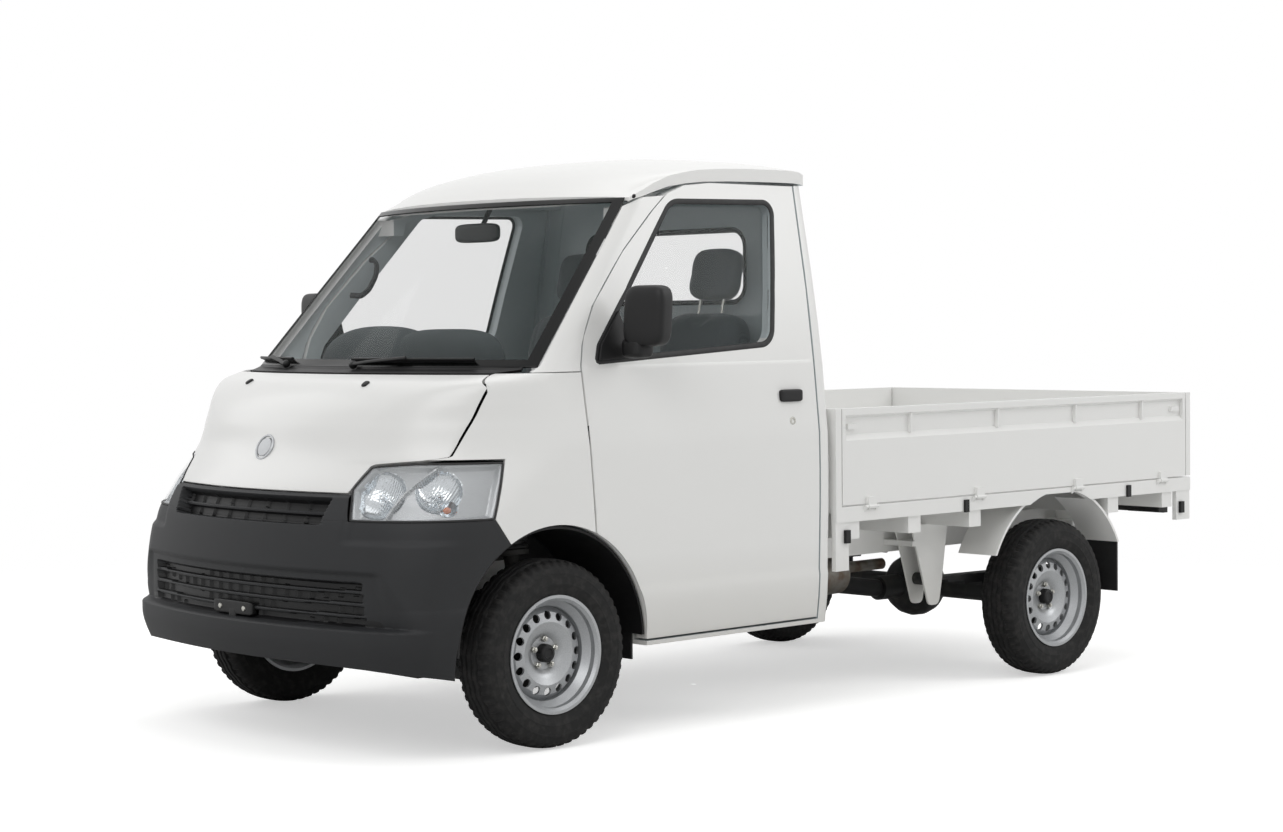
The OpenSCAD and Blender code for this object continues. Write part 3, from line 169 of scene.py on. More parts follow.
smoothing = bpy.data.node_groups.new("smooth_by_angle", "GeometryNodeTree")
smoothing.interface.new_socket("Mesh", in_out="INPUT", socket_type="NodeSocketGeometry")
smoothing.interface.new_socket("Mesh", in_out="OUTPUT", socket_type="NodeSocketGeometry")
start = node(smoothing, "NodeGroupInput")
weld = node(smoothing, "GeometryNodeMergeByDistance", {"Geometry": start.outputs[0], "Distance": 2e-5})
angle = node(smoothing, "GeometryNodeInputMeshEdgeAngle")
sharp = node(smoothing, "FunctionNodeCompare", {0: angle.outputs[0], 1: SMOOTH_TURN},
             operation="GREATER_THAN")
soft = node(smoothing, "GeometryNodeSetShadeSmooth", {"Geometry": weld.outputs[0], "Shade Smooth": True})
crease = node(smoothing, "GeometryNodeSetShadeSmooth",
              {"Geometry": soft.outputs[0], "Selection": sharp.outputs[0], "Shade Smooth": False},
              domain="EDGE")
node(smoothing, "NodeGroupOutput", {0: crease.outputs[0]})


def smoothed(obj):
    """Shades obj smooth except along edges that turn by more than SMOOTH_TURN."""
    obj.modifiers.new("smooth", "NODES").node_group = smoothing
    return obj


def dress(material, *names):
    """Gives these CAD nodes a finish and smooth shading."""
    for name in names:
        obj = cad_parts[name]
        obj.data.materials.clear()
        obj.data.materials.append(material)
        smoothed(obj)


chassis_paint, tree, shader = finish("chassis_paint", CHASSIS_HEX, Roughness=0.5)
place = node(tree, "ShaderNodeTexCoord")
patch = node(tree, "ShaderNodeTexNoise", {"Vector": place.outputs["Object"], "Scale": 1000 / DUST_PATCH,
             "Detail": 6.0})
dusty = node(tree, "ShaderNodeMapRange", {"Value": patch.outputs[0], "From Min": 0.5, "From Max": 0.8,
             "To Max": 0.5})
colour = node(tree, "ShaderNodeMix", {"Factor": dusty.outputs[0], 6: linear(CHASSIS_HEX),
              7: linear(ROAD_DUST_HEX)}, data_type="RGBA")
tree.links.new(colour.outputs[2], shader.inputs["Base Color"])
rough = node(tree, "ShaderNodeMapRange", {"Value": patch.outputs[0], "To Min": 0.38, "To Max": 0.72})
tree.links.new(rough.outputs[0], shader.inputs["Roughness"])
dress(chassis_paint, "tow_eyes", "fuel_tank", "prop_shaft", "rear_axle", "leaf_springs", "front_suspension",
      "steering_rack", "cab_floor", "radiator")

# Engine and knuckles: an iron block and two steering knuckles, cast in sand moulds and bolted up. The eye
# gets rough grey metal with a grain of grit and oily darker patches.
CASTING_HEX, OILY_HEX = "5B5B59", "2B2A28"
GRIT, OIL_PATCH = 6.0, 111.1
casting, tree, shader = finish("grey_casting", CASTING_HEX, Roughness=0.7, Metallic=0.6)
place = node(tree, "ShaderNodeTexCoord")
grit = node(tree, "ShaderNodeTexNoise", {"Vector": place.outputs["Object"], "Scale": 1000 / GRIT,
            "Detail": 3.0})
oil = node(tree, "ShaderNodeTexNoise", {"Vector": place.outputs["Object"], "Scale": 1000 / OIL_PATCH,
           "Detail": 4.0})
colour = node(tree, "ShaderNodeMix", {"Factor": oil.outputs[0], 6: linear(OILY_HEX), 7: linear(CASTING_HEX)},
              data_type="RGBA")
tree.links.new(colour.outputs[2], shader.inputs["Base Color"])
bump = node(tree, "ShaderNodeBump", {"Height": grit.outputs[0], "Strength": 0.35, "Distance": 0.001})
tree.links.new(bump.outputs[0], shader.inputs["Normal"])
dress(casting, "engine", "knuckle_left", "knuckle_right")

# Exhaust: a bent mild steel pipe and its silencer, welded together and hung from the frame. The eye gets
# dull grey metal with brown bloom where it runs hot.
PIPE_HEX, BLOOM_HEX = "83807A", "5C4634"
BLOOM_PATCH = 71.43
pipe_steel, tree, shader = finish("exhaust_steel", PIPE_HEX, Roughness=0.45, Metallic=0.9)
place = node(tree, "ShaderNodeTexCoord")
bloom = node(tree, "ShaderNodeTexNoise", {"Vector": place.outputs["Object"], "Scale": 1000 / BLOOM_PATCH,
             "Detail": 5.0})
hot = node(tree, "ShaderNodeMapRange", {"Value": bloom.outputs[0], "From Min": 0.4, "From Max": 0.7})
colour = node(tree, "ShaderNodeMix", {"Factor": hot.outputs[0], 6: linear(PIPE_HEX), 7: linear(BLOOM_HEX)},
              data_type="RGBA")
tree.links.new(colour.outputs[2], shader.inputs["Base Color"])
dress(pipe_steel, "exhaust")

# Tyres: black carbon rubber on all four wheels, moulded with four wavy grooves round the tread, cross slots
# in the shoulders and raised rings on the sidewalls. Scrubbed rubber is matt and a little grey.
WHEEL_OUT, WHEEL_UP, WHEELBASE = 728.0, 310.0, 2650.0
TYRE_HALF = [  # radius, distance from the tyre's middle
    (181, 58), (186, 63), (191, 66), (206, 74), (221, 80), (229, 82.2), (230, 83.2), (234, 83.2), (235, 82.6),
    (250, 83.6), (262, 82.8), (263, 83.4), (267, 83), (268, 82), (279, 79), (288, 75.5), (296, 70), (303, 62)]
TREAD_HALF, TREAD_STEPS, SHOULDER, SLOT_DEEP = 60, 49, 41, 5.0
GROOVES, GROOVE_WIDE, GROOVE_DEEP, SLOTS = (-36, -12, 12, 36), 7.0, 7.0, 56
RUBBER_HEX, SCRUB_HEX, SCRUB_PATCH = "191919", "2E2D2C", 25.0
tyre_rubber, tree, shader = finish("tyre_rubber", RUBBER_HEX, Roughness=0.78, Specular_IOR_Level=0.3)
place = node(tree, "ShaderNodeTexCoord")
scrub = node(tree, "ShaderNodeTexNoise", {"Vector": place.outputs["Object"], "Scale": 1000 / SCRUB_PATCH,
             "Detail": 8.0})
worn = node(tree, "ShaderNodeMapRange", {"Value": scrub.outputs[0], "From Min": 0.45, "From Max": 0.75})
colour = node(tree, "ShaderNodeMix", {"Factor": worn.outputs[0], 6: linear(RUBBER_HEX), 7: linear(SCRUB_HEX)},
              data_type="RGBA")
tree.links.new(colour.outputs[2], shader.inputs["Base Color"])
bump = node(tree, "ShaderNodeBump", {"Height": scrub.outputs[0], "Strength": 0.2, "Distance": 0.0008})
tree.links.new(bump.outputs[0], shader.inputs["Normal"])


def tyre_points():
    """Tyre centred on the axle, in mm: an outline of radius against width, turned about X. On the tread the
    radius drops in wavy grooves, a sine of the turn, and in slots across the shoulders."""
    half = np.array(TYRE_HALF)
    tread = np.linspace(-TREAD_HALF, TREAD_HALF, TREAD_STEPS)
    crown = WHEEL_UP - 7 * (np.abs(tread) / 62) ** 3.2
    across = np.concatenate([-half[:, 1], tread, half[::-1, 1]])
    radius = np.concatenate([half[:, 0], crown, half[::-1, 0]])
    turn = once_round(SLOTS * 6)
    x, a = grid_of(across, turn)
    r = np.repeat(radius[:, None], len(turn), 1)
    wave = 2.2 * np.sin(SLOTS / 2 * a)
    nearest = np.min([np.abs(x - g - wave) for g in GROOVES], 0)
    deep = GROOVE_DEEP * np.clip((GROOVE_WIDE / 2 + 0.8 - nearest) / 1.6, 0, 1)
    slot = (np.abs(((a * SLOTS / (2 * np.pi)) % 1) - 0.5) < 0.17) & (np.abs(x) > SHOULDER)
    r = r - np.where(r > 295, np.maximum(deep, SLOT_DEEP * slot), 0)
    return np.stack([x, -r * np.sin(a), r * np.cos(a)], -1)


def placed(obj, body):
    """Says which body a piece rides on."""
    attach(obj, body)
    return obj


WHEELS = {f"{end}_{side}": ((1 if side == "left" else -1) * WHEEL_OUT, far - AXLE_TO_MIDDLE, WHEEL_UP)
          for end, far in (("front", 0.0), ("rear", WHEELBASE)) for side in ("left", "right")}
tyre = tyre_points()
for name, centre in WHEELS.items():
    obj = surface(f"tyre_{name}_tread", (tyre + centre)[::-1] / 1000, tyre_rubber, wrap=(False, True))
    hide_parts(f"tyre_{name}")
    placed(smoothed(obj), f"wheel_{name}")

# Wheels: pressed steel discs with round vents, welded in rolled rims and sprayed silver, which gives a fine
# sparkle. Five zinc-plated nuts with a soft shine hold each one, round a satin black moulded cap.
SILVER_HEX, SHADE_HEX, ZINC_HEX, BLACK_HEX = "C3C5C7", "8C8E90", "B7B6B0", "101011"
NUT_CIRCLE, NUT_LONG, NUT_FACE = 47.0, 13.0, 6.0
CAP_SIZE = 31.0
FLAKE, SPANGLE, FINE_GRAIN = 2.5, 5.0, 1.6
silver_paint, tree, shader = finish("silver_wheel_paint", SILVER_HEX, Roughness=0.36, Metallic=0.55)
place = node(tree, "ShaderNodeTexCoord")
flake = node(tree, "ShaderNodeTexNoise", {"Vector": place.outputs["Object"], "Scale": 1000 / FLAKE})
colour = node(tree, "ShaderNodeMix", {"Factor": flake.outputs[0], 6: linear(SHADE_HEX),
              7: linear(SILVER_HEX)}, data_type="RGBA")
tree.links.new(colour.outputs[2], shader.inputs["Base Color"])
rough = node(tree, "ShaderNodeMapRange", {"Value": flake.outputs[0], "To Min": 0.28, "To Max": 0.46})
tree.links.new(rough.outputs[0], shader.inputs["Roughness"])
zinc_plate, tree, shader = finish("zinc_plate", ZINC_HEX, Roughness=0.32, Metallic=1.0)
place = node(tree, "ShaderNodeTexCoord")
spangle = node(tree, "ShaderNodeTexVoronoi", {"Vector": place.outputs["Object"], "Scale": 1000 / SPANGLE})
rough = node(tree, "ShaderNodeMapRange", {"Value": spangle.outputs["Distance"], "To Min": 0.22,
             "To Max": 0.42})
tree.links.new(rough.outputs[0], shader.inputs["Roughness"])
black_plastic, tree, shader = finish("black_moulded_plastic", BLACK_HEX, Roughness=0.46,
                                     Specular_IOR_Level=0.32)
place = node(tree, "ShaderNodeTexCoord")
grain = node(tree, "ShaderNodeTexVoronoi", {"Vector": place.outputs["Object"], "Scale": 1000 / FINE_GRAIN})
bump = node(tree, "ShaderNodeBump", {"Height": grain.outputs["Distance"], "Strength": 0.15,
            "Distance": 0.0004})
tree.links.new(bump.outputs[0], shader.inputs["Normal"])


def turned(outline, sides, polygon=False):
    """Outline of distance along X against radius, turned about X in a number of sides. A polygon keeps its
    flats: the radius grows by one over the cosine of the angle from the middle of the nearest flat."""
    turn = once_round(sides)
    x, r = np.array(outline, float).T[:, :, None]
    flat = np.pi / 6
    grow = 1 / np.cos((turn + flat) % (2 * flat) - flat) if polygon else np.ones(sides)
    return np.stack([x + 0 * turn, -r * np.sin(turn) * grow, r * np.cos(turn) * grow], -1)


hexagon = turned([(0, 9.5), (NUT_LONG - 2, 9.5), (NUT_LONG, 8), (NUT_LONG, 6), (NUT_LONG + 5, 5.6),
                  (NUT_LONG + 6, 4), (NUT_LONG + 6, 0.01)], 36, polygon=True)
cap = turned([(0, CAP_SIZE), (20, CAP_SIZE - 1), (26, CAP_SIZE - 3), (29, CAP_SIZE - 7), (30, CAP_SIZE - 14),
              (27, CAP_SIZE - 16), (26, 0.01)], 48)
spin = once_round(5)
nut_places = np.stack([0 * spin + NUT_FACE, -NUT_CIRCLE * np.sin(spin), NUT_CIRCLE * np.cos(spin)], -1)
for name, centre in WHEELS.items():
    out = 1 if name.endswith("left") else -1
    dress(silver_paint, f"rim_{name}")
    fittings = [(f"nut_{name}_{k}", hexagon + at, zinc_plate, "silver_wheel")
                for k, at in enumerate(nut_places)]
    fittings.append((f"hub_cap_{name}", cap + (NUT_FACE, 0, 0), black_plastic, "black_plastic"))
    for label, points, material, slot in fittings:
        points = (points * (out, 1, 1) + centre)[::-out] / 1000
        placed(smoothed(surface(label, points, material, wrap=(False, True))), f"wheel_{name}")

# Frame, cab shell and bed: welded box rails and pressed steel pillars, sills and panels, spot-welded or
# bolted and sprayed with white enamel under a clear coat. The eye gets a bright gloss with a faint
# orange-peel ripple. Low down the colour is darkened with painted shade, fully below 0.3 m and fading out
# by 0.62 m.
WHITE_HEX, LOW_SHADE_HEX = "EDEDEB", "D9D8D4"
PEEL = 7.0
PAINTED_SHADE_FULL, PAINTED_SHADE_NONE = 0.3, 0.62  # heights in metres
white_enamel, tree, shader = finish("white_enamel", WHITE_HEX, Roughness=0.4, Coat_Weight=0.5,
                                    Coat_Roughness=0.22)
place = node(tree, "ShaderNodeTexCoord")
ripple = node(tree, "ShaderNodeTexNoise", {"Vector": place.outputs["Object"], "Scale": 1000 / PEEL,
              "Detail": 1.0})
bump = node(tree, "ShaderNodeBump", {"Height": ripple.outputs[0], "Strength": 0.012, "Distance": 0.001})
tree.links.new(bump.outputs[0], shader.inputs["Normal"])
# Painted shade: the enamel's colour darkens towards the bottom, where less light falls.
height = node(tree, "ShaderNodeSeparateXYZ", {0: place.outputs["Object"]})
low = node(tree, "ShaderNodeMapRange", {"Value": height.outputs[2], "From Min": PAINTED_SHADE_FULL,
           "From Max": PAINTED_SHADE_NONE, "To Min": 1.0, "To Max": 0.0})
colour = node(tree, "ShaderNodeMix", {"Factor": low.outputs[0], 6: linear(WHITE_HEX), 7: linear(LOW_SHADE_HEX)},
              data_type="RGBA")
tree.links.new(colour.outputs[2], shader.inputs["Base Color"])
dress(white_enamel, "frame", "fenders", "hood", "rear_mudguards", "gate_left", "gate_right", "tailgate",
      "bed_floor", "bed_front_wall")

# Cab trim: faces of the shell that look towards the middle of the cab are covered with dull grey moulded
# board, clipped on, and the rest is the white enamel. The dot product of a face's direction with its place
# from the middle tells which.
TRIM_HEX, TRIM_SHADE_HEX, BOARD_GRAIN = "CBD4D6", "BBC4C6", 8.333
CAB_MIDDLE = (0.0, -0.62, 1.25)
trimmed_enamel = white_enamel.copy()
trimmed_enamel.name = "enamel_with_grey_trim"
tree = trimmed_enamel.node_tree
shader = tree.nodes["Principled BSDF"]
outside = shader.inputs["Base Color"].links[0].from_socket
place = node(tree, "ShaderNodeTexCoord")
face = node(tree, "ShaderNodeNewGeometry")
out = node(tree, "ShaderNodeVectorMath", {0: place.outputs["Object"], 1: CAB_MIDDLE}, operation="SUBTRACT")
facing = node(tree, "ShaderNodeVectorMath", {0: out.outputs[0], 1: face.outputs["True Normal"]},
              operation="DOT_PRODUCT")
inner = node(tree, "ShaderNodeMapRange", {"Value": facing.outputs["Value"], "From Min": -0.08,
             "From Max": -0.12})
grain = node(tree, "ShaderNodeTexNoise", {"Vector": place.outputs["Object"], "Scale": 1000 / BOARD_GRAIN,
             "Detail": 3.0})
board = node(tree, "ShaderNodeMix", {"Factor": grain.outputs[0], 6: linear(TRIM_HEX),
             7: linear(TRIM_SHADE_HEX)}, data_type="RGBA")
colour = node(tree, "ShaderNodeMix", {"Factor": inner.outputs[0], 6: outside, 7: board.outputs[2]},
              data_type="RGBA")
tree.links.new(colour.outputs[2], shader.inputs["Base Color"])
dull = node(tree, "ShaderNodeMapRange", {"Value": inner.outputs[0], "To Min": 0.5, "To Max": 0.0})
tree.links.new(dull.outputs[0], shader.inputs["Coat Weight"])
dress(trimmed_enamel, "cab_side_left", "cab_side_right", "cab_back", "roof", "door_left", "door_right")

# Cab skins: the outer sheets of hood, wings, doors and roof, pressed in one pull and hemmed round the edges
# of their inner frames, so each lies a millimetre over its solid and ends at the same seams.
HALF_WIDTH, NOSE_AHEAD, CAB_BACK, DOOR_FRONT, SEAM = 832.0, 735.0, 1288.0, 113.0, 8.0
RAKE, RAKE_UP = math.radians(0.8), 900.0
SIDE = np.array([  # height, tuck-in from the widest point
    (268, 28), (400, 10), (470, 5), (484, 5.5), (500, 8), (600, 5), (740, 1), (860, 0), (980, 1.5),
    (994, 2.4), (1100, 13), (1240, 27), (1500, 66), (1815, 126), (1900, 142)], float)
NOSE = np.array([  # height, setback behind the bumper's tip, front arc radius, corner radius
    (268, 45, 2300, 260), (400, 0, 2300, 270), (600, 13, 2200, 290), (740, 29, 2000, 340),
    (850, 67, 1750, 450), (986, 153, 1670, 540), (1070, 185, 1700, 520), (1140, 225, 1750, 450),
    (1196, 291, 1800, 330), (1222, 385, 1800, 220), (1240, 480, 1800, 140),
    (1248, 487.5, 1800, 139), (1500, 723, 1780, 125), (1815, 1015, 1750, 110),
    (1900, 1090, 1750, 110)], float)
HOOD_SIDE = np.array([(852, 472), (868, 482), (944, 508), (956, 640), (966, 700), (1022, 708), (1100, 725),
                      (1185, 742), (1224, 700), (1240, 690)], float)
WING_FRONT = np.array([(600, -150), (687, -219), (770, -283), (862, -249), (960, -211)], float)
DOOR_EDGE = np.array([(268, 40), (717, 36), (908, 20), (1137, 5), (1245, 0), (1338, 21), (1453, 86),
                      (1624, 243), (1774, 418), (1830, 493), (1860, 577), (1872, 701)], float)
ROOF = np.array([  # share of the way back, centre height, edge height
    (0, 1823, 1813), (0.06, 1862, 1836), (0.13, 1900, 1866), (0.22, 1932, 1893), (0.4, 1966, 1917),
    (0.65, 1985, 1926), (0.9, 1984, 1927), (0.97, 1976, 1923), (1, 1960, 1914)], float)
ARCH_AT, ARCH_SIZE = (-25.0, 328.0), 408.0
SKIN_LIFT, DOOR_LIFT = 1.0, 0.8
SHEET, HEM, DOOR_SHEET, DOOR_HEM = 3.0, 1.4, 1.6, 0.7
HOOD_FOOT, HOOD_TOP = 856, 1224
LAMP_TOP, NOSE_COLS, WING_FOOT, WING_TOP = 958.0, 22, 664, 1227.5
DOOR_REAR, DOOR_LOW, DOOR_BELT = 1222.0, 325.0, 1249.0
ROOF_WIDEST, SCREEN_HEAD, EDGE_DROP = 1860.0, 1815.0, 14.0
SIDES = ((1, "left"), (-1, "right"))


def fair(table, column, at):
    """Smooth curve through a table's rows: cubic pieces whose slope at a row is the harmonic mean of the
    rises on both sides, and zero where they differ in sign, so the curve never overshoots."""
    x, y = table[:, 0], table[:, column]
    rise = np.diff(y) / np.diff(x)
    both = rise[:-1] * rise[1:]
    mean = np.where(both > 0, 2 * both / np.where(both > 0, rise[:-1] + rise[1:], 1), 0)
    slope = np.concatenate([rise[:1], mean, rise[-1:]])
    k = np.clip(np.searchsorted(x, at, side="right") - 1, 0, len(x) - 2)
    h = x[k + 1] - x[k]
    t = np.clip((at - x[k]) / h, 0, 1)
    return (y[k] * (2 * t**3 - 3 * t**2 + 1) + slope[k] * h * (t**3 - 2 * t**2 + t)
            + y[k + 1] * (3 * t**2 - 2 * t**3) + slope[k + 1] * h * (t**3 - t**2))


def outline_at(z):
    """The cab's plan at height z: a front arc, then a corner arc tangent to it and to the straight side.
    Gives half width, nose y, both radii, the corner's centre and the angle where the arcs meet."""
    half, nose = HALF_WIDTH - fair(SIDE, 1, z), fair(NOSE, 1, z) - NOSE_AHEAD
    front, corner = fair(NOSE, 2, z), fair(NOSE, 3, z)
    cx = half - corner
    cy = nose + front - np.sqrt((front - corner) ** 2 - cx**2)
    return half, nose, front, corner, cx, cy, np.arctan2(cx, nose + front - cy)


def skin(z, t, lift=0.0):
    """Points of the cab's skin at height z: t runs from 0 in the middle along the front arc to 1, round the
    corner to 2 and then along the side, one for each metre. Lifted along the normal, the cross product of
    both slopes."""
    def on_skin(z, t):
        half, nose, front, corner, cx, cy, meet = outline_at(z)
        a = np.abs(t)
        ang = np.where(a <= 1, a * meet, meet + (np.minimum(a, 2) - 1) * (np.pi / 2 - meet))
        x = np.where(a <= 1, front * np.sin(ang), cx + corner * np.sin(ang))
        y = np.where(a <= 1, nose + front - front * np.cos(ang),
                     cy - corner * np.cos(ang) + 1000 * np.maximum(0, a - 2))
        return np.stack([np.sign(t) * x, y, z + 0 * x], -1)
    p = on_skin(z, t)
    n = np.cross(on_skin(z, t + 0.004) - on_skin(z, t - 0.004), on_skin(z + 1.5, t) - on_skin(z - 1.5, t))
    return p + np.asarray(lift)[..., None] * n / np.linalg.norm(n, axis=-1, keepdims=True)


def turn_at_x(z, x):
    """The skin's t where it is x from the middle, for both arcs."""
    half, nose, front, corner, cx, cy, meet = outline_at(z)
    a = np.arcsin(np.minimum(1, np.abs(x) / front))
    b = np.arcsin(np.clip((np.abs(x) - cx) / corner, -1, 1))
    return np.sign(x) * np.where(a <= meet, a / meet, 1 + (b - meet) / (np.pi / 2 - meet))


def turn_at_y(z, y):
    """The skin's t where it is at y, on the corner arc or the straight side."""
    half, nose, front, corner, cx, cy, meet = outline_at(z)
    a = np.arccos(np.clip((cy - y) / corner, -1, 1))
    return np.where(y >= cy, 2 + (y - cy) / 1000, 1 + (a - meet) / (np.pi / 2 - meet))


def raked(p):
    """Body points in mm to the row frame in metres: tipped nose down about X and moved back to the middle."""
    y, z = p[..., 1], p[..., 2] - RAKE_UP
    return np.stack([p[..., 0], y * math.cos(RAKE) - z * math.sin(RAKE) - AXLE_TO_MIDDLE,
                     RAKE_UP + y * math.sin(RAKE) + z * math.cos(RAKE)], -1) / 1000


def sheeted(obj, thick, round_edge, body):
    """Finishes a pressed sheet: thickness inwards, a rolled edge and smooth shading, riding on its body."""
    sheet = obj.modifiers.new("sheet", "SOLIDIFY")
    sheet.thickness, sheet.offset = thick / 1000, -1
    edge = obj.modifiers.new("hem", "BEVEL")
    edge.width, edge.segments = round_edge / 1000, 3
    edge.limit_method, edge.angle_limit = "ANGLE", math.radians(50)
    return placed(smoothed(obj), body)


def mirrored(points, side):
    """A grid built for the left, or its mirror image for the right with its faces still outwards."""
    return (points * (side, 1, 1))[:, ::side]


def cut_at_arch(z, t):
    """Height and t of a grid whose points inside the wheel arch move out to its edge along their own radius,
    and which quads stay, as those wholly inside go."""
    flat = skin(z, t)
    off_y, off_z = flat[..., 1] - ARCH_AT[0], flat[..., 2] - ARCH_AT[1]
    far = np.hypot(off_y, off_z)
    inside = far < ARCH_SIZE
    grow = np.where(inside, ARCH_SIZE / np.maximum(far, 1), 1)
    edge_z = ARCH_AT[1] + off_z * grow
    edge_t = np.where(inside, turn_at_y(edge_z, ARCH_AT[0] + off_y * grow), t)
    return edge_z, edge_t, ~(inside[:-1, :-1] & inside[1:, :-1] & inside[:-1, 1:] & inside[1:, 1:])


rows = [np.linspace(HOOD_FOOT, 1206, 60), np.linspace(1207, HOOD_TOP, 14)]
z, u = grid_of(np.concatenate(rows), np.linspace(-1, 1, 97))
hood_x = np.interp(z, *HOOD_SIDE.T) + 2
hood = surface("hood_skin", raked(skin(z, turn_at_x(z, u * hood_x), SKIN_LIFT)), white_enamel)
sheeted(hood, SHEET, HEM, "hood")

# Each wing's columns part at the lamp's rear corner, and that line leans back above the lamp.
rows = [np.linspace(WING_FOOT, LAMP_TOP, 50), np.linspace(960, 1204, 50), np.linspace(1206, WING_TOP, 14)]
columns = [np.linspace(-1, 0, NOSE_COLS + 1), np.linspace(0, 1, 60)[1:]]
z, u = grid_of(np.concatenate(rows), np.concatenate(columns))
first = turn_at_x(z, np.interp(np.maximum(z, LAMP_TOP), *HOOD_SIDE.T) + SEAM)
last = turn_at_y(z, DOOR_FRONT + np.interp(z, *DOOR_EDGE.T) - SEAM)
blend = np.clip((z - LAMP_TOP) / 160, 0, 1)
behind_lamp = turn_at_y(z, np.full_like(z, WING_FRONT[-1, 1]))
above = (1 - blend) * behind_lamp + blend * (first + 0.3 * (last - first))
split = np.where(z > LAMP_TOP, above, turn_at_y(z, np.interp(z, *WING_FRONT.T)))
turn = np.where(u < 0, split + u * (split - first), split + u * (last - split))
edge_z, edge_t, outer = cut_at_arch(z, turn)
outer &= (z[:-1, :-1] >= LAMP_TOP) | (u[:-1, :-1] >= 0)
for side, name in SIDES:
    wing = raked(mirrored(skin(edge_z, edge_t, SKIN_LIFT), side))
    wing = surface(f"wing_skin_{name}", wing, white_enamel, keep=outer[:, ::side])
    sheeted(wing, SHEET, HEM, "chassis")

z, u = grid_of(np.linspace(DOOR_LOW + 4, DOOR_BELT, 60), np.linspace(0, 1, 50))
first = turn_at_y(z, DOOR_FRONT + np.interp(z, *DOOR_EDGE.T) + 1.5)
last = turn_at_y(z, np.full_like(z, DOOR_REAR - 1.5))
edge_z, edge_t, outer = cut_at_arch(z, first + u * (last - first))
for side, name in SIDES:
    panel = raked(mirrored(skin(edge_z, edge_t, DOOR_LIFT), side))
    panel = surface(f"door_skin_{name}", panel, white_enamel, keep=outer[:, ::side])
    sheeted(panel, DOOR_SHEET, DOOR_HEM, f"door_{name}")

rows = [np.linspace(0, 0.3, 40), np.linspace(0.32, 0.92, 30), np.linspace(0.93, 1, 14)]
v, u = grid_of(np.concatenate(rows), np.sin(np.linspace(-np.pi / 2, np.pi / 2, 81)))
roof_half = HALF_WIDTH - fair(SIDE, 1, np.array(ROOF_WIDEST)) + 2
x = u * (roof_half - 18 * (1 - v) ** 2)
top = np.full_like(x, SCREEN_HEAD)
screen_y = skin(top, turn_at_x(top, x))[..., 1] + 11
crown, rim_z = fair(ROOF, 1, v), fair(ROOF, 2, v)
roof_z = crown - (crown - rim_z) * np.abs(u) ** 2.6 + SKIN_LIFT
roof_z -= EDGE_DROP * np.abs(u) ** 40 * np.clip((0.2 - v) / 0.1, 0, 1)
roof = np.stack([x, screen_y + (CAB_BACK - screen_y) * v, roof_z], -1)
sheeted(surface("roof_skin", raked(roof), white_enamel), SHEET, HEM, "chassis")

# Glazing: laminated windscreen and toughened side and rear panes, tinted grey-green, which darkens what is
# behind a little. The screen is bonded in, and a shiny black baked-on border hides the bonding.
SCREEN_EDGE = np.array([(1240, 781), (1367, 761), (1558, 729), (1718, 701), (1815, 683)], float)
SCREEN_FOOT, SCREEN_TOP, SCREEN_SEAM, SCREEN_THICK = 1248.0, 1813.0, 3.8, 6.0
BORDER_SIDE, BORDER_TOP, BORDER_FOOT = 30.0, 19.5, 20.4
GLASS_HEX, BORDER_HEX, WAVER, BORDER_DOTS = "4A5552", "0B0C0C", 333.3, 5.0


def inlaid(obj, material, where):
    """Gives a second material to the faces of a grid where this holds."""
    obj.data.materials.append(material)
    obj.data.polygons.foreach_set("material_index", np.ravel(where).astype(np.int32))


def mid(a):
    """Values at the middles of a grid's quads."""
    return (a[:-1, :-1] + a[1:, 1:]) / 2


tinted_glass, tree, shader = finish("tinted_glass", GLASS_HEX, Roughness=0.02, IOR=1.5, Alpha=0.08,
                                    Coat_Weight=0.5)
place = node(tree, "ShaderNodeTexCoord")
waver = node(tree, "ShaderNodeTexNoise", {"Vector": place.outputs["Object"], "Scale": 1000 / WAVER})
bump = node(tree, "ShaderNodeBump", {"Height": waver.outputs[0], "Strength": 0.02, "Distance": 0.002})
tree.links.new(bump.outputs[0], shader.inputs["Normal"])
black_border, tree, shader = finish("black_baked_border", BORDER_HEX, Roughness=0.2, Specular_IOR_Level=0.25)
place = node(tree, "ShaderNodeTexCoord")
dots = node(tree, "ShaderNodeTexNoise", {"Vector": place.outputs["Object"], "Scale": 1000 / BORDER_DOTS})
rough = node(tree, "ShaderNodeMapRange", {"Value": dots.outputs[0], "To Min": 0.16, "To Max": 0.3})
tree.links.new(rough.outputs[0], shader.inputs["Roughness"])
z, u = grid_of(np.linspace(SCREEN_FOOT, SCREEN_TOP, 72), np.linspace(-1, 1, 97))
wide = np.interp(z, *SCREEN_EDGE.T) - SCREEN_SEAM
screen = surface("windscreen", raked(skin(z, turn_at_x(z, u * wide))), tinted_glass)
inlaid(screen, black_border, (mid((1 - np.abs(u)) * wide) < BORDER_SIDE) | (mid(z) > SCREEN_TOP - BORDER_TOP)
       | (mid(z) < SCREEN_FOOT + BORDER_FOOT))
sheeted(screen, SCREEN_THICK, 1.0, "chassis")
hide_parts("cab_glass")
dress(tinted_glass, "door_left_glass", "door_right_glass")

# The rear pane sits in a pressed ring, white outside and trimmed inside, that narrows the opening in the back
# wall.
BACK_PANE = [(-436, 1459, 66), (436, 1459, 66), (436, 1728, 66), (-436, 1728, 66)]
BACK_HOLE = [(-566, 1353, 40), (566, 1353, 40), (545, 1737, 40), (-545, 1737, 40)]
RING_IN, RING_OUT, PANE_IN = 35, 1, 16  # depths before the back wall's face
PANE_THICK, PANE_MIDDLE = 5.0, 1594


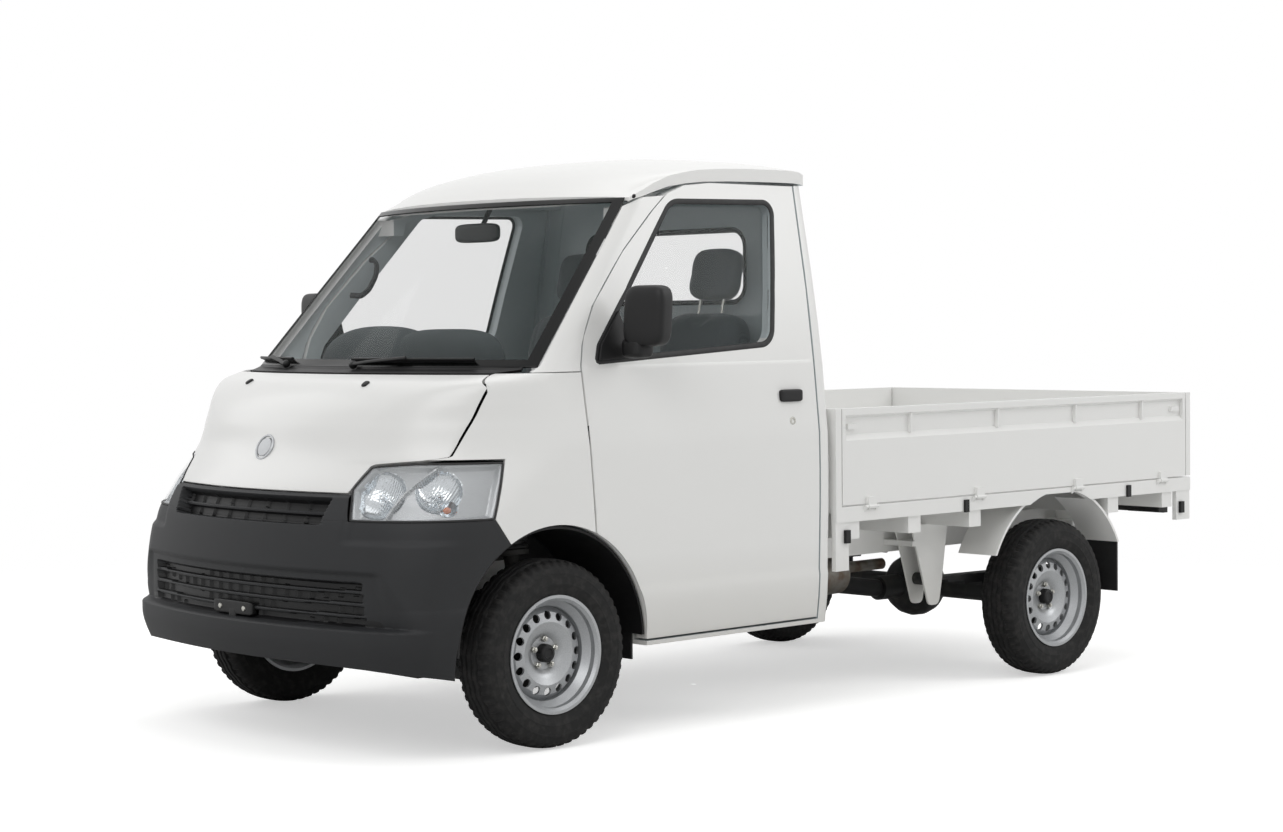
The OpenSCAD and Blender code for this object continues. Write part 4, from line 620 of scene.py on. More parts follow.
def rounded_loop(corners, count=240):
    """Closed outline of corners given as two places and a radius: straight runs joined by arcs, in a number
    of even steps. An arc starts at radius over the tangent of half the corner's angle from the corner."""
    c = np.array(corners, float)
    out = []
    for k in range(len(c)):
        here, radius = c[k, :2], c[k, 2]
        before, after = c[k - 1, :2] - here, c[(k + 1) % len(c), :2] - here
        before, after = before / np.linalg.norm(before), after / np.linalg.norm(after)
        half = np.arccos(np.clip(before @ after, -1, 1)) / 2
        centre = here + (before + after) / np.linalg.norm(before + after) * radius / np.sin(half)
        first = here + before * radius / np.tan(half) - centre
        last = here + after * radius / np.tan(half) - centre
        sweep, bend = np.linspace(0, 1, 14)[:, None], np.pi - 2 * half
        out.append(centre + (first * np.sin((1 - sweep) * bend) + last * np.sin(sweep * bend)) / np.sin(bend))
    loop = np.concatenate(out + [out[0][:1]])
    far = np.concatenate([[0], np.cumsum(np.linalg.norm(np.diff(loop, axis=0), axis=1))])
    at = np.linspace(0, far[-1], count, endpoint=False)
    return np.stack([np.interp(at, far, loop[:, 0]), np.interp(at, far, loop[:, 1])], -1)


def at_y(loop, y):
    """An outline of x and z stood upright at y."""
    return np.stack([loop[:, 0], np.full(len(loop), y), loop[:, 1]], -1)


hole, pane = rounded_loop(BACK_HOLE), rounded_loop(BACK_PANE)
inner, outer = CAB_BACK - RING_IN, CAB_BACK - RING_OUT
ring = np.stack([at_y(hole, inner), at_y(pane, inner), at_y(pane, outer), at_y(hole, outer)])
ring = surface("rear_window_ring", raked(ring)[::-1], trimmed_enamel, wrap=(True, True))
placed(smoothed(ring), "chassis")
middle = np.array([0.0, CAB_BACK - PANE_IN, PANE_MIDDLE])
share = np.linspace(0.02, 1, 12)[:, None, None]
back_pane = middle + (at_y(pane, CAB_BACK - PANE_IN) - middle) * share
back_pane = surface("rear_window", raked(back_pane), tinted_glass, wrap=(False, True))
sheeted(back_pane, PANE_THICK, 0.6, "chassis")

# Bumper and grilles: one moulding of charcoal polypropylene, coloured all through and clipped to the nose,
# with a fine spark-eroded grain that leaves it matt. The grain is drawn at 2.4 mm, coarser than the real
# one, so that it shows. Faces lying deep in the grille openings take the black plastic instead, as
# painted shade.
BUMPER_HEX, BUMPER_WORN_HEX = "1C1D1F", "232426"
GRAIN, WORN_PATCH = 2.4, 166.7
LOW_GRILLE, LOW_BARS = (441.0, 583.0, 612.0, 590.0), (474.0, 512.0, 550.0)
TOP_GRILLE, TOP_BARS = (752.0, 838.0, 412.0, 434.0), (796.0,)
GRILLE_DEEP, RIB_DEEP, BAR_DEEP, PAINTED_SHADE_FROM = 38, 30, 17, 22
BUMPER_FOOT, FOOT_DROP, BUMPER_TOP, CREST_TOP, ARCH_TOP = 322, 52, 768, 851, 687
charcoal_plastic, tree, shader = finish("charcoal_polypropylene", BUMPER_HEX, Roughness=0.58,
                                        Specular_IOR_Level=0.35)
place = node(tree, "ShaderNodeTexCoord")
grain = node(tree, "ShaderNodeTexVoronoi", {"Vector": place.outputs["Object"], "Scale": 1000 / GRAIN})
worn = node(tree, "ShaderNodeTexNoise", {"Vector": place.outputs["Object"], "Scale": 1000 / WORN_PATCH,
            "Detail": 5.0})
colour = node(tree, "ShaderNodeMix", {"Factor": worn.outputs[0], 6: linear(BUMPER_HEX),
              7: linear(BUMPER_WORN_HEX)}, data_type="RGBA")
tree.links.new(colour.outputs[2], shader.inputs["Base Color"])
bump = node(tree, "ShaderNodeBump", {"Height": grain.outputs["Distance"], "Strength": 0.25,
            "Distance": 0.0006})
tree.links.new(bump.outputs[0], shader.inputs["Normal"])


def step(a, start, end):
    """Rises smoothly from 0 at start to 1 at end."""
    t = np.clip((a - start) / (end - start), 0, 1)
    return t * t * (3 - 2 * t)


def bumper_depth(x, z):
    """How far the moulding lies behind the cab's skin: a shallow pan round the lower grille, two deep
    openings, and in them level bars near the front with upright ribs behind. The lip under the pan stands
    out, and so does the face but for a step under the lamps."""
    a = np.abs(x)
    up = z - 440
    pan = (34 - 0.13 * up) * step(a, 790 - 0.7 * up, 660 - 0.15 * up) * step(z, 432, 442) * step(z, 618, 598)
    proud = 9 * (1 - step(a, 506, 530) * step(z, 690, 716)) * step(a, 826, 780) * step(z, 851, 836)
    depth = pan - proud - 8 * step(z, 436, 426) * step(a, 815, 730)
    openings = ((*LOW_GRILLE, LOW_BARS, 62), (*TOP_GRILLE, TOP_BARS, 104))
    for low, high, wide_low, wide_high, bars, rib in openings:
        half = wide_low + (z - low) / (high - low) * (wide_high - wide_low)
        opening = step(half - a, 0, 9) * step(z, low, low + 9) * step(z, high, high - 9)
        ribs = np.abs((x + rib / 2) % rib - rib / 2) < 3.2
        inside = np.where(ribs, RIB_DEEP, GRILLE_DEEP)
        for bar in bars:
            inside = np.where(np.abs(z - bar) < 6, BAR_DEEP + 3 * np.abs(z - bar) / 6, inside)
        depth = depth + opening * (inside - depth)
    return depth


def arch_front(z):
    """Front edge of the wheel arch at height z."""
    return ARCH_AT[0] - np.sqrt(np.maximum(ARCH_SIZE**2 - (z - ARCH_AT[1]) ** 2, 0))


w, u = grid_of(np.linspace(0, 1, 141), np.linspace(-1, 1, 201))
z = (BUMPER_FOOT - FOOT_DROP * np.abs(u) ** 3) * (1 - w) + BUMPER_TOP * w
t = u * turn_at_y(z, np.where(z < ARCH_TOP, arch_front(z), np.interp(z, *WING_FRONT.T)) - 1)
grids = {"bumper_moulding": (z, t, skin(z, t)[..., 0])}
z, u = grid_of(np.linspace(BUMPER_TOP, CREST_TOP, 34), np.linspace(-1, 1, 161))
x = u * (np.interp(z, [768, 868], [526, 492]) - 7)
grids["grille_surround"] = (z, turn_at_x(z, x), x)
for name, (z, t, x) in grids.items():
    depth = bumper_depth(x, z)
    obj = surface(name, raked(skin(z, t, -depth)), charcoal_plastic)
    # Painted shade: faces deeper than 22 mm behind the skin take the black plastic.
    inlaid(obj, black_plastic, mid(depth) > PAINTED_SHADE_FROM)
    sheeted(obj, 3.0, 0.8, "chassis")
    if name == "bumper_moulding":
        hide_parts("front_bumper")

# Plate bracket: a black moulded bar across the lower grille with a tab below. Two plated screws hold it to
# the bumper.


def pillow(half, boxy, rows=41, cols=64):
    """Rounded box about the origin: a sphere's sines and cosines raised to a power below one, times the half
    sizes. The smaller the power, the squarer the box."""
    a, b = grid_of(np.linspace(-np.pi / 2, np.pi / 2, rows), once_round(cols))
    power = lambda v: np.sign(v) * np.abs(v) ** boxy
    ring = power(np.cos(a))
    return np.stack([ring * power(np.cos(b)), ring * power(np.sin(b)), power(np.sin(a))], -1) * half


def turned_about(points, axis, angle):
    """Points turned by an angle about axis 0, 1 or 2 through the origin."""
    i, j = (axis + 1) % 3, (axis + 2) % 3
    out = points.copy()
    out[..., i] = points[..., i] * math.cos(angle) - points[..., j] * math.sin(angle)
    out[..., j] = points[..., i] * math.sin(angle) + points[..., j] * math.cos(angle)
    return out


def moulded(name, points, material, body):
    """A closed small piece in body millimetres, smooth and riding on its body."""
    return placed(smoothed(surface(name, raked(points), material, wrap=(False, True))), body)


moulded("plate_bracket", pillow((112, 13, 22), 0.25) + (0, -712, 466), black_plastic, "chassis")
moulded("plate_bracket_tab", pillow((20, 9, 34), 0.3) + (0, -717, 430), black_plastic, "chassis")
screw = turned_about(turned([(0, 9), (3, 8), (4, 5), (4, 0.01)], 24), 2, -math.pi / 2)
for side, name in SIDES[::-1]:
    moulded(f"plate_screw_{name}", screw + (side * 68, -725, 466), zinc_plate, "chassis")

# Headlamps: a clear polycarbonate lens over a vacuum-coated reflector with two main bowls and an indicator
# bowl, parted by a curved rib. The eye gets broken glints behind a thin gloss, one amber bulb, and a dull
# black rubber gasket that seals the lens.
LAMP_INNER = np.array([(768, 526), (868, 492), (936, 518), (947, 648)], float)
LAMP_Z0, LAMP_Z1 = 772.0, 946.0
BOWLS = [(580, 862, 88), (728, 872, 78), (766, 822, 34)]  # x, z and radius
PAN_DEEP, BOWL_DEEP, FLUTE, RIB_BEHIND, RIM_BEHIND = 24.0, 46, 9, 9, 6
COAT_HAZE, LENS_FILM, GLASS_SWIRL, RUBBER_BLOOM = 16.67, 40.0, 11.11, 20.0
CHROME_HEX, CLEAR_HEX, AMBER_HEX, SEAL_HEX = "C9CDD0", "E4E8EA", "C8641A", "121213"
chrome, tree, shader = finish("vacuum_coated_reflector", CHROME_HEX, Roughness=0.1, Metallic=1.0)
place = node(tree, "ShaderNodeTexCoord")
haze = node(tree, "ShaderNodeTexNoise", {"Vector": place.outputs["Object"], "Scale": 1000 / COAT_HAZE,
            "Detail": 3.0})
rough = node(tree, "ShaderNodeMapRange", {"Value": haze.outputs[0], "To Min": 0.05, "To Max": 0.2})
tree.links.new(rough.outputs[0], shader.inputs["Roughness"])
lens_clear, tree, shader = finish("clear_polycarbonate", CLEAR_HEX, Roughness=0.02, IOR=1.5, Alpha=0.09,
                                  Coat_Weight=0.6)
place = node(tree, "ShaderNodeTexCoord")
film = node(tree, "ShaderNodeTexNoise", {"Vector": place.outputs["Object"], "Scale": 1000 / LENS_FILM})
rough = node(tree, "ShaderNodeMapRange", {"Value": film.outputs[0], "To Min": 0.01, "To Max": 0.05})
tree.links.new(rough.outputs[0], shader.inputs["Roughness"])
amber, tree, shader = finish("amber_bulb_glass", AMBER_HEX, Roughness=0.08, Coat_Weight=0.8)
place = node(tree, "ShaderNodeTexCoord")
swirl = node(tree, "ShaderNodeTexNoise", {"Vector": place.outputs["Object"], "Scale": 1000 / GLASS_SWIRL})
rough = node(tree, "ShaderNodeMapRange", {"Value": swirl.outputs[0], "To Min": 0.05, "To Max": 0.15})
tree.links.new(rough.outputs[0], shader.inputs["Roughness"])
rubber, tree, shader = finish("black_extruded_rubber", SEAL_HEX, Roughness=0.62)
place = node(tree, "ShaderNodeTexCoord")
bloom = node(tree, "ShaderNodeTexNoise", {"Vector": place.outputs["Object"], "Scale": 1000 / RUBBER_BLOOM,
             "Detail": 4.0})
rough = node(tree, "ShaderNodeMapRange", {"Value": bloom.outputs[0], "To Min": 0.5, "To Max": 0.75})
tree.links.new(rough.outputs[0], shader.inputs["Roughness"])


def swept(path, normal, wide, high, closed=True):
    """Bead along a path: an oval of that width and height, set square to the path's run and standing along
    normal. An open bead's ends are drawn together to a point."""
    run = np.roll(path, -1, 0) - np.roll(path, 1, 0) if closed else np.gradient(path, axis=0)
    run = run / np.linalg.norm(run, axis=1, keepdims=True)
    side = np.cross(run, normal)
    side = side / np.linalg.norm(side, axis=1, keepdims=True)
    up = np.cross(side, run)
    a = once_round(12)[None, :, None]
    tube = path[:, None] + wide / 2 * np.cos(a) * side[:, None] + high / 2 * np.sin(a) * up[:, None]
    if closed:
        return tube
    end = np.ones((1, 12, 1))
    return np.concatenate([path[0] * end, tube, path[-1] * end])


def rim_of(grid):
    """The closed border of a grid of points, once round."""
    return np.concatenate([grid[0, :-1], grid[:-1, -1], grid[-1, :0:-1], grid[:0:-1, 0]])


def beaded(name, path, normal, wide, high, material, body):
    """A closed bead of rubber along a border, in body millimetres."""
    tube = raked(swept(path, normal, wide, high))[:, ::-1]
    return placed(smoothed(surface(name, tube, material, wrap=(True, True))), body)


def skin_at(x, z, lift=0.0):
    """Points of the cab's front at these x and z, and the directions out of it."""
    x, z = np.asarray(x, float), np.asarray(z, float)
    t = turn_at_x(z, x)
    spot = skin(z, t, lift)
    return spot, skin(z, t, lift + 1) - spot


z, u = grid_of(np.linspace(LAMP_Z0, LAMP_Z1, 81), np.linspace(0, 1, 121))
first = turn_at_x(z, np.interp(z, *LAMP_INNER.T))
last = turn_at_y(z, np.interp(z, *WING_FRONT.T) - 6)
t = first + u * (last - first)
face = skin(z, t)
depth = np.full_like(z, PAN_DEEP)
for bx, bz, size in BOWLS:
    away = np.sum((face - skin_at(bx, bz)[0]) ** 2, -1) / size**2
    depth += BOWL_DEEP * np.clip(1 - away, 0, 1) ** 0.7
depth += np.where(depth > PAN_DEEP + 2, 1.6 * np.sin(face[..., 0] * np.pi / FLUTE) ** 2, 0)
rib = 640 + 55 * ((z - 775) / 170) ** 2
depth = np.where(np.abs(face[..., 0] - rib) < 5, RIB_BEHIND, depth)
rim_near = np.minimum.reduce([u * 300, (1 - u) * 300, z - LAMP_Z0, LAMP_Z1 - z])
depth = RIM_BEHIND + (depth - RIM_BEHIND) * step(rim_near, 2, 16)
cover_z, cover_t = z[::2, ::2], t[::2, ::2]
border = rim_of(skin(cover_z, cover_t, 0.5))
outward = rim_of(skin(cover_z, cover_t, 1.5)) - border
for side, name in SIDES:
    flip = (side, 1, 1)
    bowl = surface(f"lamp_reflector_{name}", raked(mirrored(skin(z, t, -depth), side)), chrome)
    inlaid(bowl, silver_paint, (mid(depth) < PAN_DEEP + 0.5)[:, ::side])
    sheeted(bowl, 2.0, 0.5, "chassis")
    cover = surface(f"lamp_lens_{name}", raked(mirrored(skin(cover_z, cover_t, 0.6), side)), lens_clear)
    sheeted(cover, 3.0, 0.8, "chassis")
    beaded(f"lamp_gasket_{name}", border * flip, outward * flip, 7 * side, 5, rubber, "chassis")
    for k, (bx, bz, size) in enumerate(BOWLS):
        bulb = pillow((11, 15, 11), 1.0, 17, 24) + skin_at(bx, bz, -BOWL_DEEP)[0]
        glass = amber if k == 2 else chrome
        moulded(f"lamp_bulb_{name}_{k}", mirrored(bulb, side), glass, "chassis")
    if side > 0:
        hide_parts("headlamps")
        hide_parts("headlamp_lenses")

# Hood fittings: a plain round disc sprayed silver, with a black groove, and two black moulded washer jets.
# All of them push into holes in the hood's sheet.
DISC_AT, DISC_SIZE = (0.0, 986.0), 46.0
JETS = [(-334.0, 1195.0), (334.0, 1195.0)]


def set_on(points, spot, up):
    """Points built along X, stood on a spot with X along the direction up."""
    up = up / np.linalg.norm(up)
    side = np.cross((0.0, 0, 1), up)
    side = side / np.linalg.norm(side)
    return spot + points[..., :1] * up + points[..., 1:2] * side + points[..., 2:] * np.cross(up, side)


disc = turned([(-2, DISC_SIZE), (4, DISC_SIZE), (6, DISC_SIZE - 2), (6, DISC_SIZE - 7), (2, DISC_SIZE - 9),
               (2, DISC_SIZE - 12), (5, DISC_SIZE - 14), (7, 0.01)], 72)
plain = moulded("plain_disc", set_on(disc, *skin_at(*DISC_AT, SKIN_LIFT)), silver_paint, "hood")
inlaid(plain, black_plastic, np.repeat([0, 0, 0, 0, 1, 0, 0], 72))
for k, spot in enumerate(JETS):
    jet = set_on(pillow((7, 11, 15), 0.6, 17, 24), *skin_at(*spot, SKIN_LIFT))
    moulded(f"washer_jet_{k}", jet, black_plastic, "hood")

# Rear window rubber: an extruded black channel that grips the pane and the edge of the wall, seen as a dull
# band from inside and outside.
for k, y in enumerate((CAB_BACK - 34.0, CAB_BACK)):
    beaded(f"rear_window_channel_{k}", at_y(pane, y), np.array([0.0, 1.0, 0.0]), 20, 8, rubber, "chassis")

# Cowl, steering wheel, wheelhouses and gate buffers: black moulded plastic, clipped or screwed on, and mud
# flaps cut from black rubber sheet.
dress(black_plastic, "cowl", "steering_wheel", "wheelhouses", "gate_buffers")
dress(rubber, "mud_flaps")

# Dashboard: a plastic moulding bolted across the cab, with a hood over the dials and a rounded top in the
# middle. Its soft skin gives the eye a matt dark grey with slightly paler worn patches.
DASH_HOODS = {  # half sizes, squareness and x
    "dash_dial_hood": ((350, 85, 162), 0.85, -270), "dash_middle_top": ((270, 80, 150), 0.6, 105)}
DASH_TOP = (115, 1222)  # y and z of their middles, on the top of the moulding
DASH_HEX, DASH_WORN_HEX, DASH_PATCH = "454A4C", "52585A", 111.1
dash_plastic, tree, shader = finish("soft_dash_plastic", DASH_HEX, Roughness=0.7, Specular_IOR_Level=0.2)
place = node(tree, "ShaderNodeTexCoord")
worn = node(tree, "ShaderNodeTexNoise", {"Vector": place.outputs["Object"], "Scale": 1000 / DASH_PATCH,
            "Detail": 5.0})
colour = node(tree, "ShaderNodeMix", {"Factor": worn.outputs[0], 6: linear(DASH_HEX),
              7: linear(DASH_WORN_HEX)}, data_type="RGBA")
tree.links.new(colour.outputs[2], shader.inputs["Base Color"])
dress(dash_plastic, "dashboard")
for name, (half, boxy, x) in DASH_HOODS.items():
    moulded(name, pillow(half, boxy) + (x, *DASH_TOP), dash_plastic, "chassis")

# Wipers: pressed steel arms on round caps, sprung down on blades that hold a strip of soft rubber. All of
# it is black.
WIPERS = [(-390, -560, -750, -370), (60, 300, 30, 570)]  # x of cap, arm's end and both ends of the blade
CAP_Z, ARM_Z, BLADE_Z = 1241.0, 1243, 1263
CAP_LIFT, ARM_LIFT, BLADE_LIFT, STRIP_LIFT = 17, 24, 14, 4.5


def rod(name, path, normal, wide, high, material, body, slot):
    """An open bead with pointed ends, as a piece in body millimetres."""
    return moulded(name, swept(path, normal, wide, high, closed=False)[::-1], material, body)


for k, (cap_x, tip_x, start_x, end_x) in enumerate(WIPERS):
    along = np.linspace(cap_x, tip_x, 40), np.linspace(ARM_Z, BLADE_Z, 40)
    arm = rod(f"wiper_arm_{k}", *skin_at(*along, ARM_LIFT), 14, 8, black_plastic, "chassis", "black_plastic")
    along = np.linspace(start_x, end_x, 60), np.full(60, BLADE_Z)
    rod(f"wiper_blade_{k}", *skin_at(*along, BLADE_LIFT), 10, 14, black_plastic, "chassis", "black_plastic")
    rod(f"wiper_rubber_{k}", *skin_at(*along, STRIP_LIFT), 4, 8, rubber, "chassis", "rubber")
    wiper_cap = set_on(pillow((13, 13, 13), 0.7, 17, 24), *skin_at(cap_x, CAP_Z, CAP_LIFT))
    moulded(f"wiper_cap_{k}", wiper_cap, black_plastic, "chassis")
    if k == 0:
        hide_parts("wipers")

# Grab handle and aerial: a moulded loop screwed to the driver's screen pillar, and a short moulded stub at
# the top of the other one.
GRAB = [(-662, 262, 1500), (-632, 290, 1496), (-612, 312, 1520), (-606, 340, 1570), (-612, 352, 1612),
        (-630, 350, 1632), (-652, 352, 1632)]
AERIAL_AT, AERIAL_OUT = np.array([706.0, 445, 1816]), np.array([0.8, -0.3, 0.5])
grab = np.array(GRAB, float)
far = np.linspace(0, len(grab) - 1, 60)
grab = np.stack([np.interp(far, np.arange(len(grab)), grab[:, k]) for k in range(3)], -1)
for _ in range(6):
    grab[1:-1] = (grab[:-2] + 2 * grab[1:-1] + grab[2:]) / 4
rod("grab_handle", grab, np.array([1.0, 0.2, 0.0]), 22, 16, charcoal_plastic, "chassis", "dark_plastic")
aerial = set_on(pillow((9, 6, 6), 0.8, 17, 24), AERIAL_AT, AERIAL_OUT)
moulded("aerial_stub", aerial, black_plastic, "chassis")

# Inside mirror: silvered glass in a black moulded shell, on a stem glued to the screen. The glass gives the
# eye a sharp reflection with faint smears.
MIRROR_HEX, SMEAR = "DADFE2", 33.33
INSIDE_AT, ACROSS = np.array([0, 338, 1712]), np.array([1.0, 0, 0])
mirror_glass, tree, shader = finish("silvered_glass", MIRROR_HEX, Roughness=0.03, Metallic=1.0)
place = node(tree, "ShaderNodeTexCoord")
smear = node(tree, "ShaderNodeTexNoise", {"Vector": place.outputs["Object"], "Scale": 1000 / SMEAR})
rough = node(tree, "ShaderNodeMapRange", {"Value": smear.outputs[0], "To Min": 0.02, "To Max": 0.06})
tree.links.new(rough.outputs[0], shader.inputs["Roughness"])
shell = pillow((118, 16, 34), 0.45) + INSIDE_AT
inside = moulded("inside_mirror_shell", shell, black_plastic, "chassis")
pane = pillow((108, 2, 27), 0.4, 17, 48) + INSIDE_AT + (0, 16, 0)
moulded("inside_mirror_pane", pane, mirror_glass, "chassis")
stem = np.stack([np.zeros(12), np.linspace(344, 414, 12), np.linspace(1706, 1827, 12)], -1)
rod("inside_mirror_stem", stem, ACROSS, 18, 18, black_plastic, "chassis", "black_plastic")
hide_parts("cabin_fittings")

# Door windows: an extruded rubber channel round each pane, pressed into the door's frame, and a black
# moulded sail in the front corner that carries the mirror.
DOOR_WINDOW = [(181, 1259, 8), (1022, 1308, 70), (1120, 1812, 40), (613, 1804, 90), (198, 1312, 20)]
SAIL = [(184, 1263), (352, 1272), (296, 1426), (201, 1315)]
CHANNEL_WIDE, CHANNEL_HIGH = 22.0, 9.0


def on_side(yz, below):
    """Points on the cab's left side at these y and z, a depth below the skin."""
    return np.stack([HALF_WIDTH - fair(SIDE, 1, yz[..., 1]) - below, yz[..., 0], yz[..., 1]], -1)


loop = rounded_loop(DOOR_WINDOW, 320)
channel = on_side(loop, 3.0)
lean = np.tile((1.0, 0.0, 0.15), (len(loop), 1))
a, b, c, d = np.array(SAIL, float)
s, w = np.stack(grid_of(np.linspace(0, 1, 13), np.linspace(0, 1, 13)))[..., None]
sail = on_side((1 - w) * ((1 - s) * a + s * b) + w * ((1 - s) * d + s * c), 4.0)
for side, name in SIDES:
    flip, door = (side, 1, 1), f"door_{name}"
    beaded(f"window_channel_{name}", channel * flip, lean * flip, CHANNEL_WIDE * side, CHANNEL_HIGH,
           rubber, door)
    patch = surface(f"mirror_sail_{name}", raked(sail * flip)[::side], black_plastic)
    sheeted(patch, 14.0, 2.0, door)

# Door furniture: a mirror in a black moulded shell on a short foot, a flap handle in the skin, a plated
# lock and an armrest inside. They bolt through the door's skin.
MIRROR_AT, MIRROR_HALF, MIRROR_TURN = (924.0, 303.0, 1410.0), (80.0, 46.0, 101.0), math.radians(12)
shell = pillow(MIRROR_HALF, 0.42)
shell[..., 1] *= np.where(shell[..., 1] > 0, 0.8, 1)
shell[..., 0] += 0.06 * shell[..., 2]
pane = pillow((66, 3, 84), 0.4, 17, 48) + (0, 36, 0)
foot = pillow((46, 42, 34), 0.5) + (876, 296, 1304)
handle = pillow((10, 56, 22), 0.34) + (820, 1088, 1124)
armrest = pillow((40, 240, 25), 0.4) + (741, 770, 945)
lock = turned([(-6, 15), (2, 15), (4, 13), (4, 8), (1, 7), (1, 0.01)], 36) + (825, 1091, 1034)
for side, name in SIDES:
    door = f"door_{name}"
    set_in = lambda points: mirrored(turned_about(points, 2, MIRROR_TURN) + MIRROR_AT, side)
    head = moulded(f"mirror_shell_{name}", set_in(shell), black_plastic, door)
    moulded(f"mirror_pane_{name}", set_in(pane), mirror_glass, door)
    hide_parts(f"door_{name}_fittings")
    for label, points, material, slot in (
            ("mirror_foot", foot, black_plastic, "black_plastic"),
            ("handle", handle, black_plastic, "black_plastic"),
            ("armrest", armrest, charcoal_plastic, "dark_plastic"),
            ("lock", lock, zinc_plate, "silver_wheel")):
        moulded(f"{label}_{name}", mirrored(points, side), material, door)

# Seats: foam pads in matt grey woven cloth on a steel pan, each seat a cushion, a leaning back and a
# headrest on two plated posts. The pads are blown up as closed cloth, so they crown and their sides pull in
# between the corners. The weave is drawn at 3 mm, coarser than the real one, so that it shows.
SEAT_X = 375.0
PADS = [  # name, centre, half sizes, lean, squareness, most swell, seams across
    ("cushion", (0, 775, 862), (222, 224, 58), 4, 0.42, 16, 140),
    ("back", (0, 1070, 1172), (217, 56, 268), -13.8, 0.42, 18, 130),
    ("headrest", (0, 1166, 1560), (116, 40, 96), -13.8, 0.5, 12, 0)]
SEAM_WIDE, SEAM_PULL = 7, 0.075
CLOTH_HEX, THREAD_HEX, WEAVE = "777D80", "565B5E", 3.0
WAVE_PERIOD = 314  # of a wave texture at a scale of 1, in mm
seat_cloth, tree, shader = finish("woven_seat_cloth", CLOTH_HEX, Roughness=0.9, Sheen_Weight=0.3)
place = node(tree, "ShaderNodeTexCoord")
threads = {"Vector": place.outputs["Object"], "Scale": WAVE_PERIOD / WEAVE, "Distortion": 0.6}
warp = node(tree, "ShaderNodeTexWave", threads, bands_direction="X")
weft = node(tree, "ShaderNodeTexWave", threads, bands_direction="Z")
weave = node(tree, "ShaderNodeMath", {0: warp.outputs["Fac"], 1: weft.outputs["Fac"]}, operation="MULTIPLY")
colour = node(tree, "ShaderNodeMix", {"Factor": weave.outputs[0], 6: linear(THREAD_HEX),
              7: linear(CLOTH_HEX)}, data_type="RGBA")
tree.links.new(colour.outputs[2], shader.inputs["Base Color"])
bump = node(tree, "ShaderNodeBump", {"Height": weave.outputs[0], "Strength": 0.4, "Distance": 0.0006})
tree.links.new(bump.outputs[0], shader.inputs["Normal"])


def corners_of(mesh):
    """A mesh's points as an array."""
    flat = np.empty(len(mesh.vertices) * 3)
    mesh.vertices.foreach_get("co", flat)
    return flat.reshape(-1, 3)


def blown_up(points, most, voxel=0.011):
    """A closed grid of points in metres as an even mesh of small quads, swelled as cloth under pressure for
    twenty steps. No point moves further than most. Gives its points and faces."""
    start = surface("pad_start", points, seat_cloth, wrap=(False, True))
    even = start.modifiers.new("even", "REMESH")
    even.mode, even.voxel_size = "VOXEL", voxel
    mesh = bpy.data.meshes.new_from_object(start.evaluated_get(bpy.context.evaluated_depsgraph_get()))
    bpy.data.objects.remove(start)
    pad = bpy.data.objects.new("pad_cloth", mesh)
    bpy.context.scene.collection.objects.link(pad)
    full = flat = corners_of(mesh)
    faces = [tuple(p.vertices) for p in mesh.polygons]
    cloth = pad.modifiers.new("cloth", "CLOTH")
    cloth.settings.use_pressure, cloth.settings.uniform_pressure_force = True, 4
    cloth.settings.effector_weights.gravity = 0
    for step_at in range(1, 21):
        bpy.context.scene.frame_set(step_at)
    full = corners_of(pad.evaluated_get(bpy.context.evaluated_depsgraph_get()).data)
    bpy.context.scene.frame_set(1)
    bpy.data.objects.remove(pad)
    move = full - flat
    far = np.linalg.norm(move, axis=1, keepdims=True)
    return flat + move * np.minimum(1, most / np.maximum(far, 1e-9)), faces


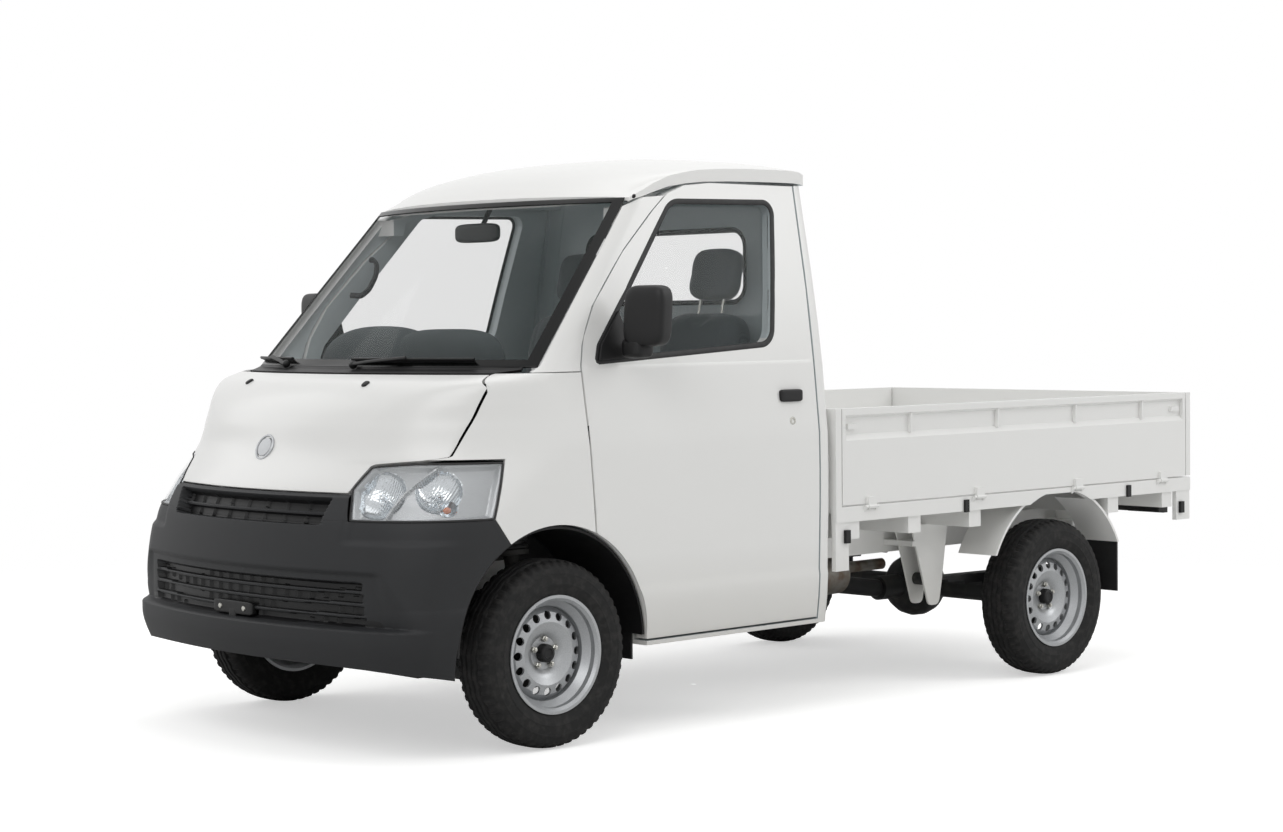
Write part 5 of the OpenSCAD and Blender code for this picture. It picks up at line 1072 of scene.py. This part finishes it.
for label, centre, half, lean, boxy, most, seam in PADS:
    pad, faces = blown_up(pillow(half, boxy) / 1000, most / 1000)
    if seam:
        near = np.exp(-((np.abs(pad[:, 0]) * 1000 - seam) / SEAM_WIDE) ** 2)
        pad = pad * (1 - SEAM_PULL * near[:, None] * (0, half[1] < half[2], half[2] < half[1]))
    pad = turned_about(pad * 1000, 0, math.radians(lean)) + centre
    for side, name in SIDES:
        mesh = bpy.data.meshes.new(f"seat_{label}_{name}")
        mesh.from_pydata(raked(pad + (side * SEAT_X, 0, 0)), [], faces)
        mesh.shade_smooth()
        mesh.materials.append(seat_cloth)
        piece = bpy.data.objects.new(f"seat_{label}_{name}", mesh)
        bpy.context.scene.collection.objects.link(piece)
        placed(piece, "chassis")
        if label == "cushion" and side > 0:
            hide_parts("seats")
post = np.stack([np.zeros(12), np.linspace(1128, 1152, 12), np.linspace(1408, 1508, 12)], -1)
for side, name in SIDES:
    for k, apart in enumerate((-60, 60)):
        rod(f"headrest_post_{name}_{k}", post + (side * SEAT_X + apart, 0, 0), ACROSS, 11, 11, zinc_plate,
            "chassis", "silver_wheel")

# Bed floor: a steel sheet rolled with shallow ribs along its length, welded over the bearers and painted
# with the bed.
RIB_PITCH, RIB_HIGH, FLOOR_TOP, FLOOR_HALF = 132.0, 5.0, 713, 790
y, x = grid_of(np.linspace(1352, 3478, 12), np.linspace(-FLOOR_HALF, FLOOR_HALF, 481))
wave = np.abs((x / RIB_PITCH) % 1 - 0.5) * 2
ribbed = np.stack([x, y, FLOOR_TOP + RIB_HIGH * step(wave, 0.42, 0.58) * step(np.abs(x), 788, 776)], -1)
sheeted(surface("ribbed_floor", raked(ribbed), white_enamel), 0.8, 0.2, "chassis")

# Rear lamps: a black moulded bar screwed under the tail, with a red, an amber and a clear lens at each end.
# The red plastic is moulded with small prisms, so it glints.
REAR_AT, REAR_HALF = (3513, 600), (7, 36)  # y and z of the lenses, and their half sizes that way
RED_HEX, PRISM = "8E1512", 8.0
red_lens, tree, shader = finish("red_lens_plastic", RED_HEX, Roughness=0.08, Coat_Weight=0.8)
place = node(tree, "ShaderNodeTexCoord")
prism = node(tree, "ShaderNodeTexVoronoi", {"Vector": place.outputs["Object"], "Scale": 1000 / PRISM})
bump = node(tree, "ShaderNodeBump", {"Height": prism.outputs["Distance"], "Strength": 0.3, "Distance": 0.001})
tree.links.new(bump.outputs[0], shader.inputs["Normal"])
REAR_LENSES = [("stop", 684, 33, red_lens, "red_lens"), ("turn", 622, 25, amber, "red_lens"),
               ("reverse", 568, 25, lens_clear, "clear_lens")]
dress(black_plastic, "rear_lamps")
for side, name in SIDES:
    for label, at, wide, material, slot in REAR_LENSES:
        lens = pillow((wide, *REAR_HALF), 0.25, 25, 48) + (at, *REAR_AT)
        moulded(f"rear_lens_{label}_{name}", mirrored(lens, side), material, "chassis")
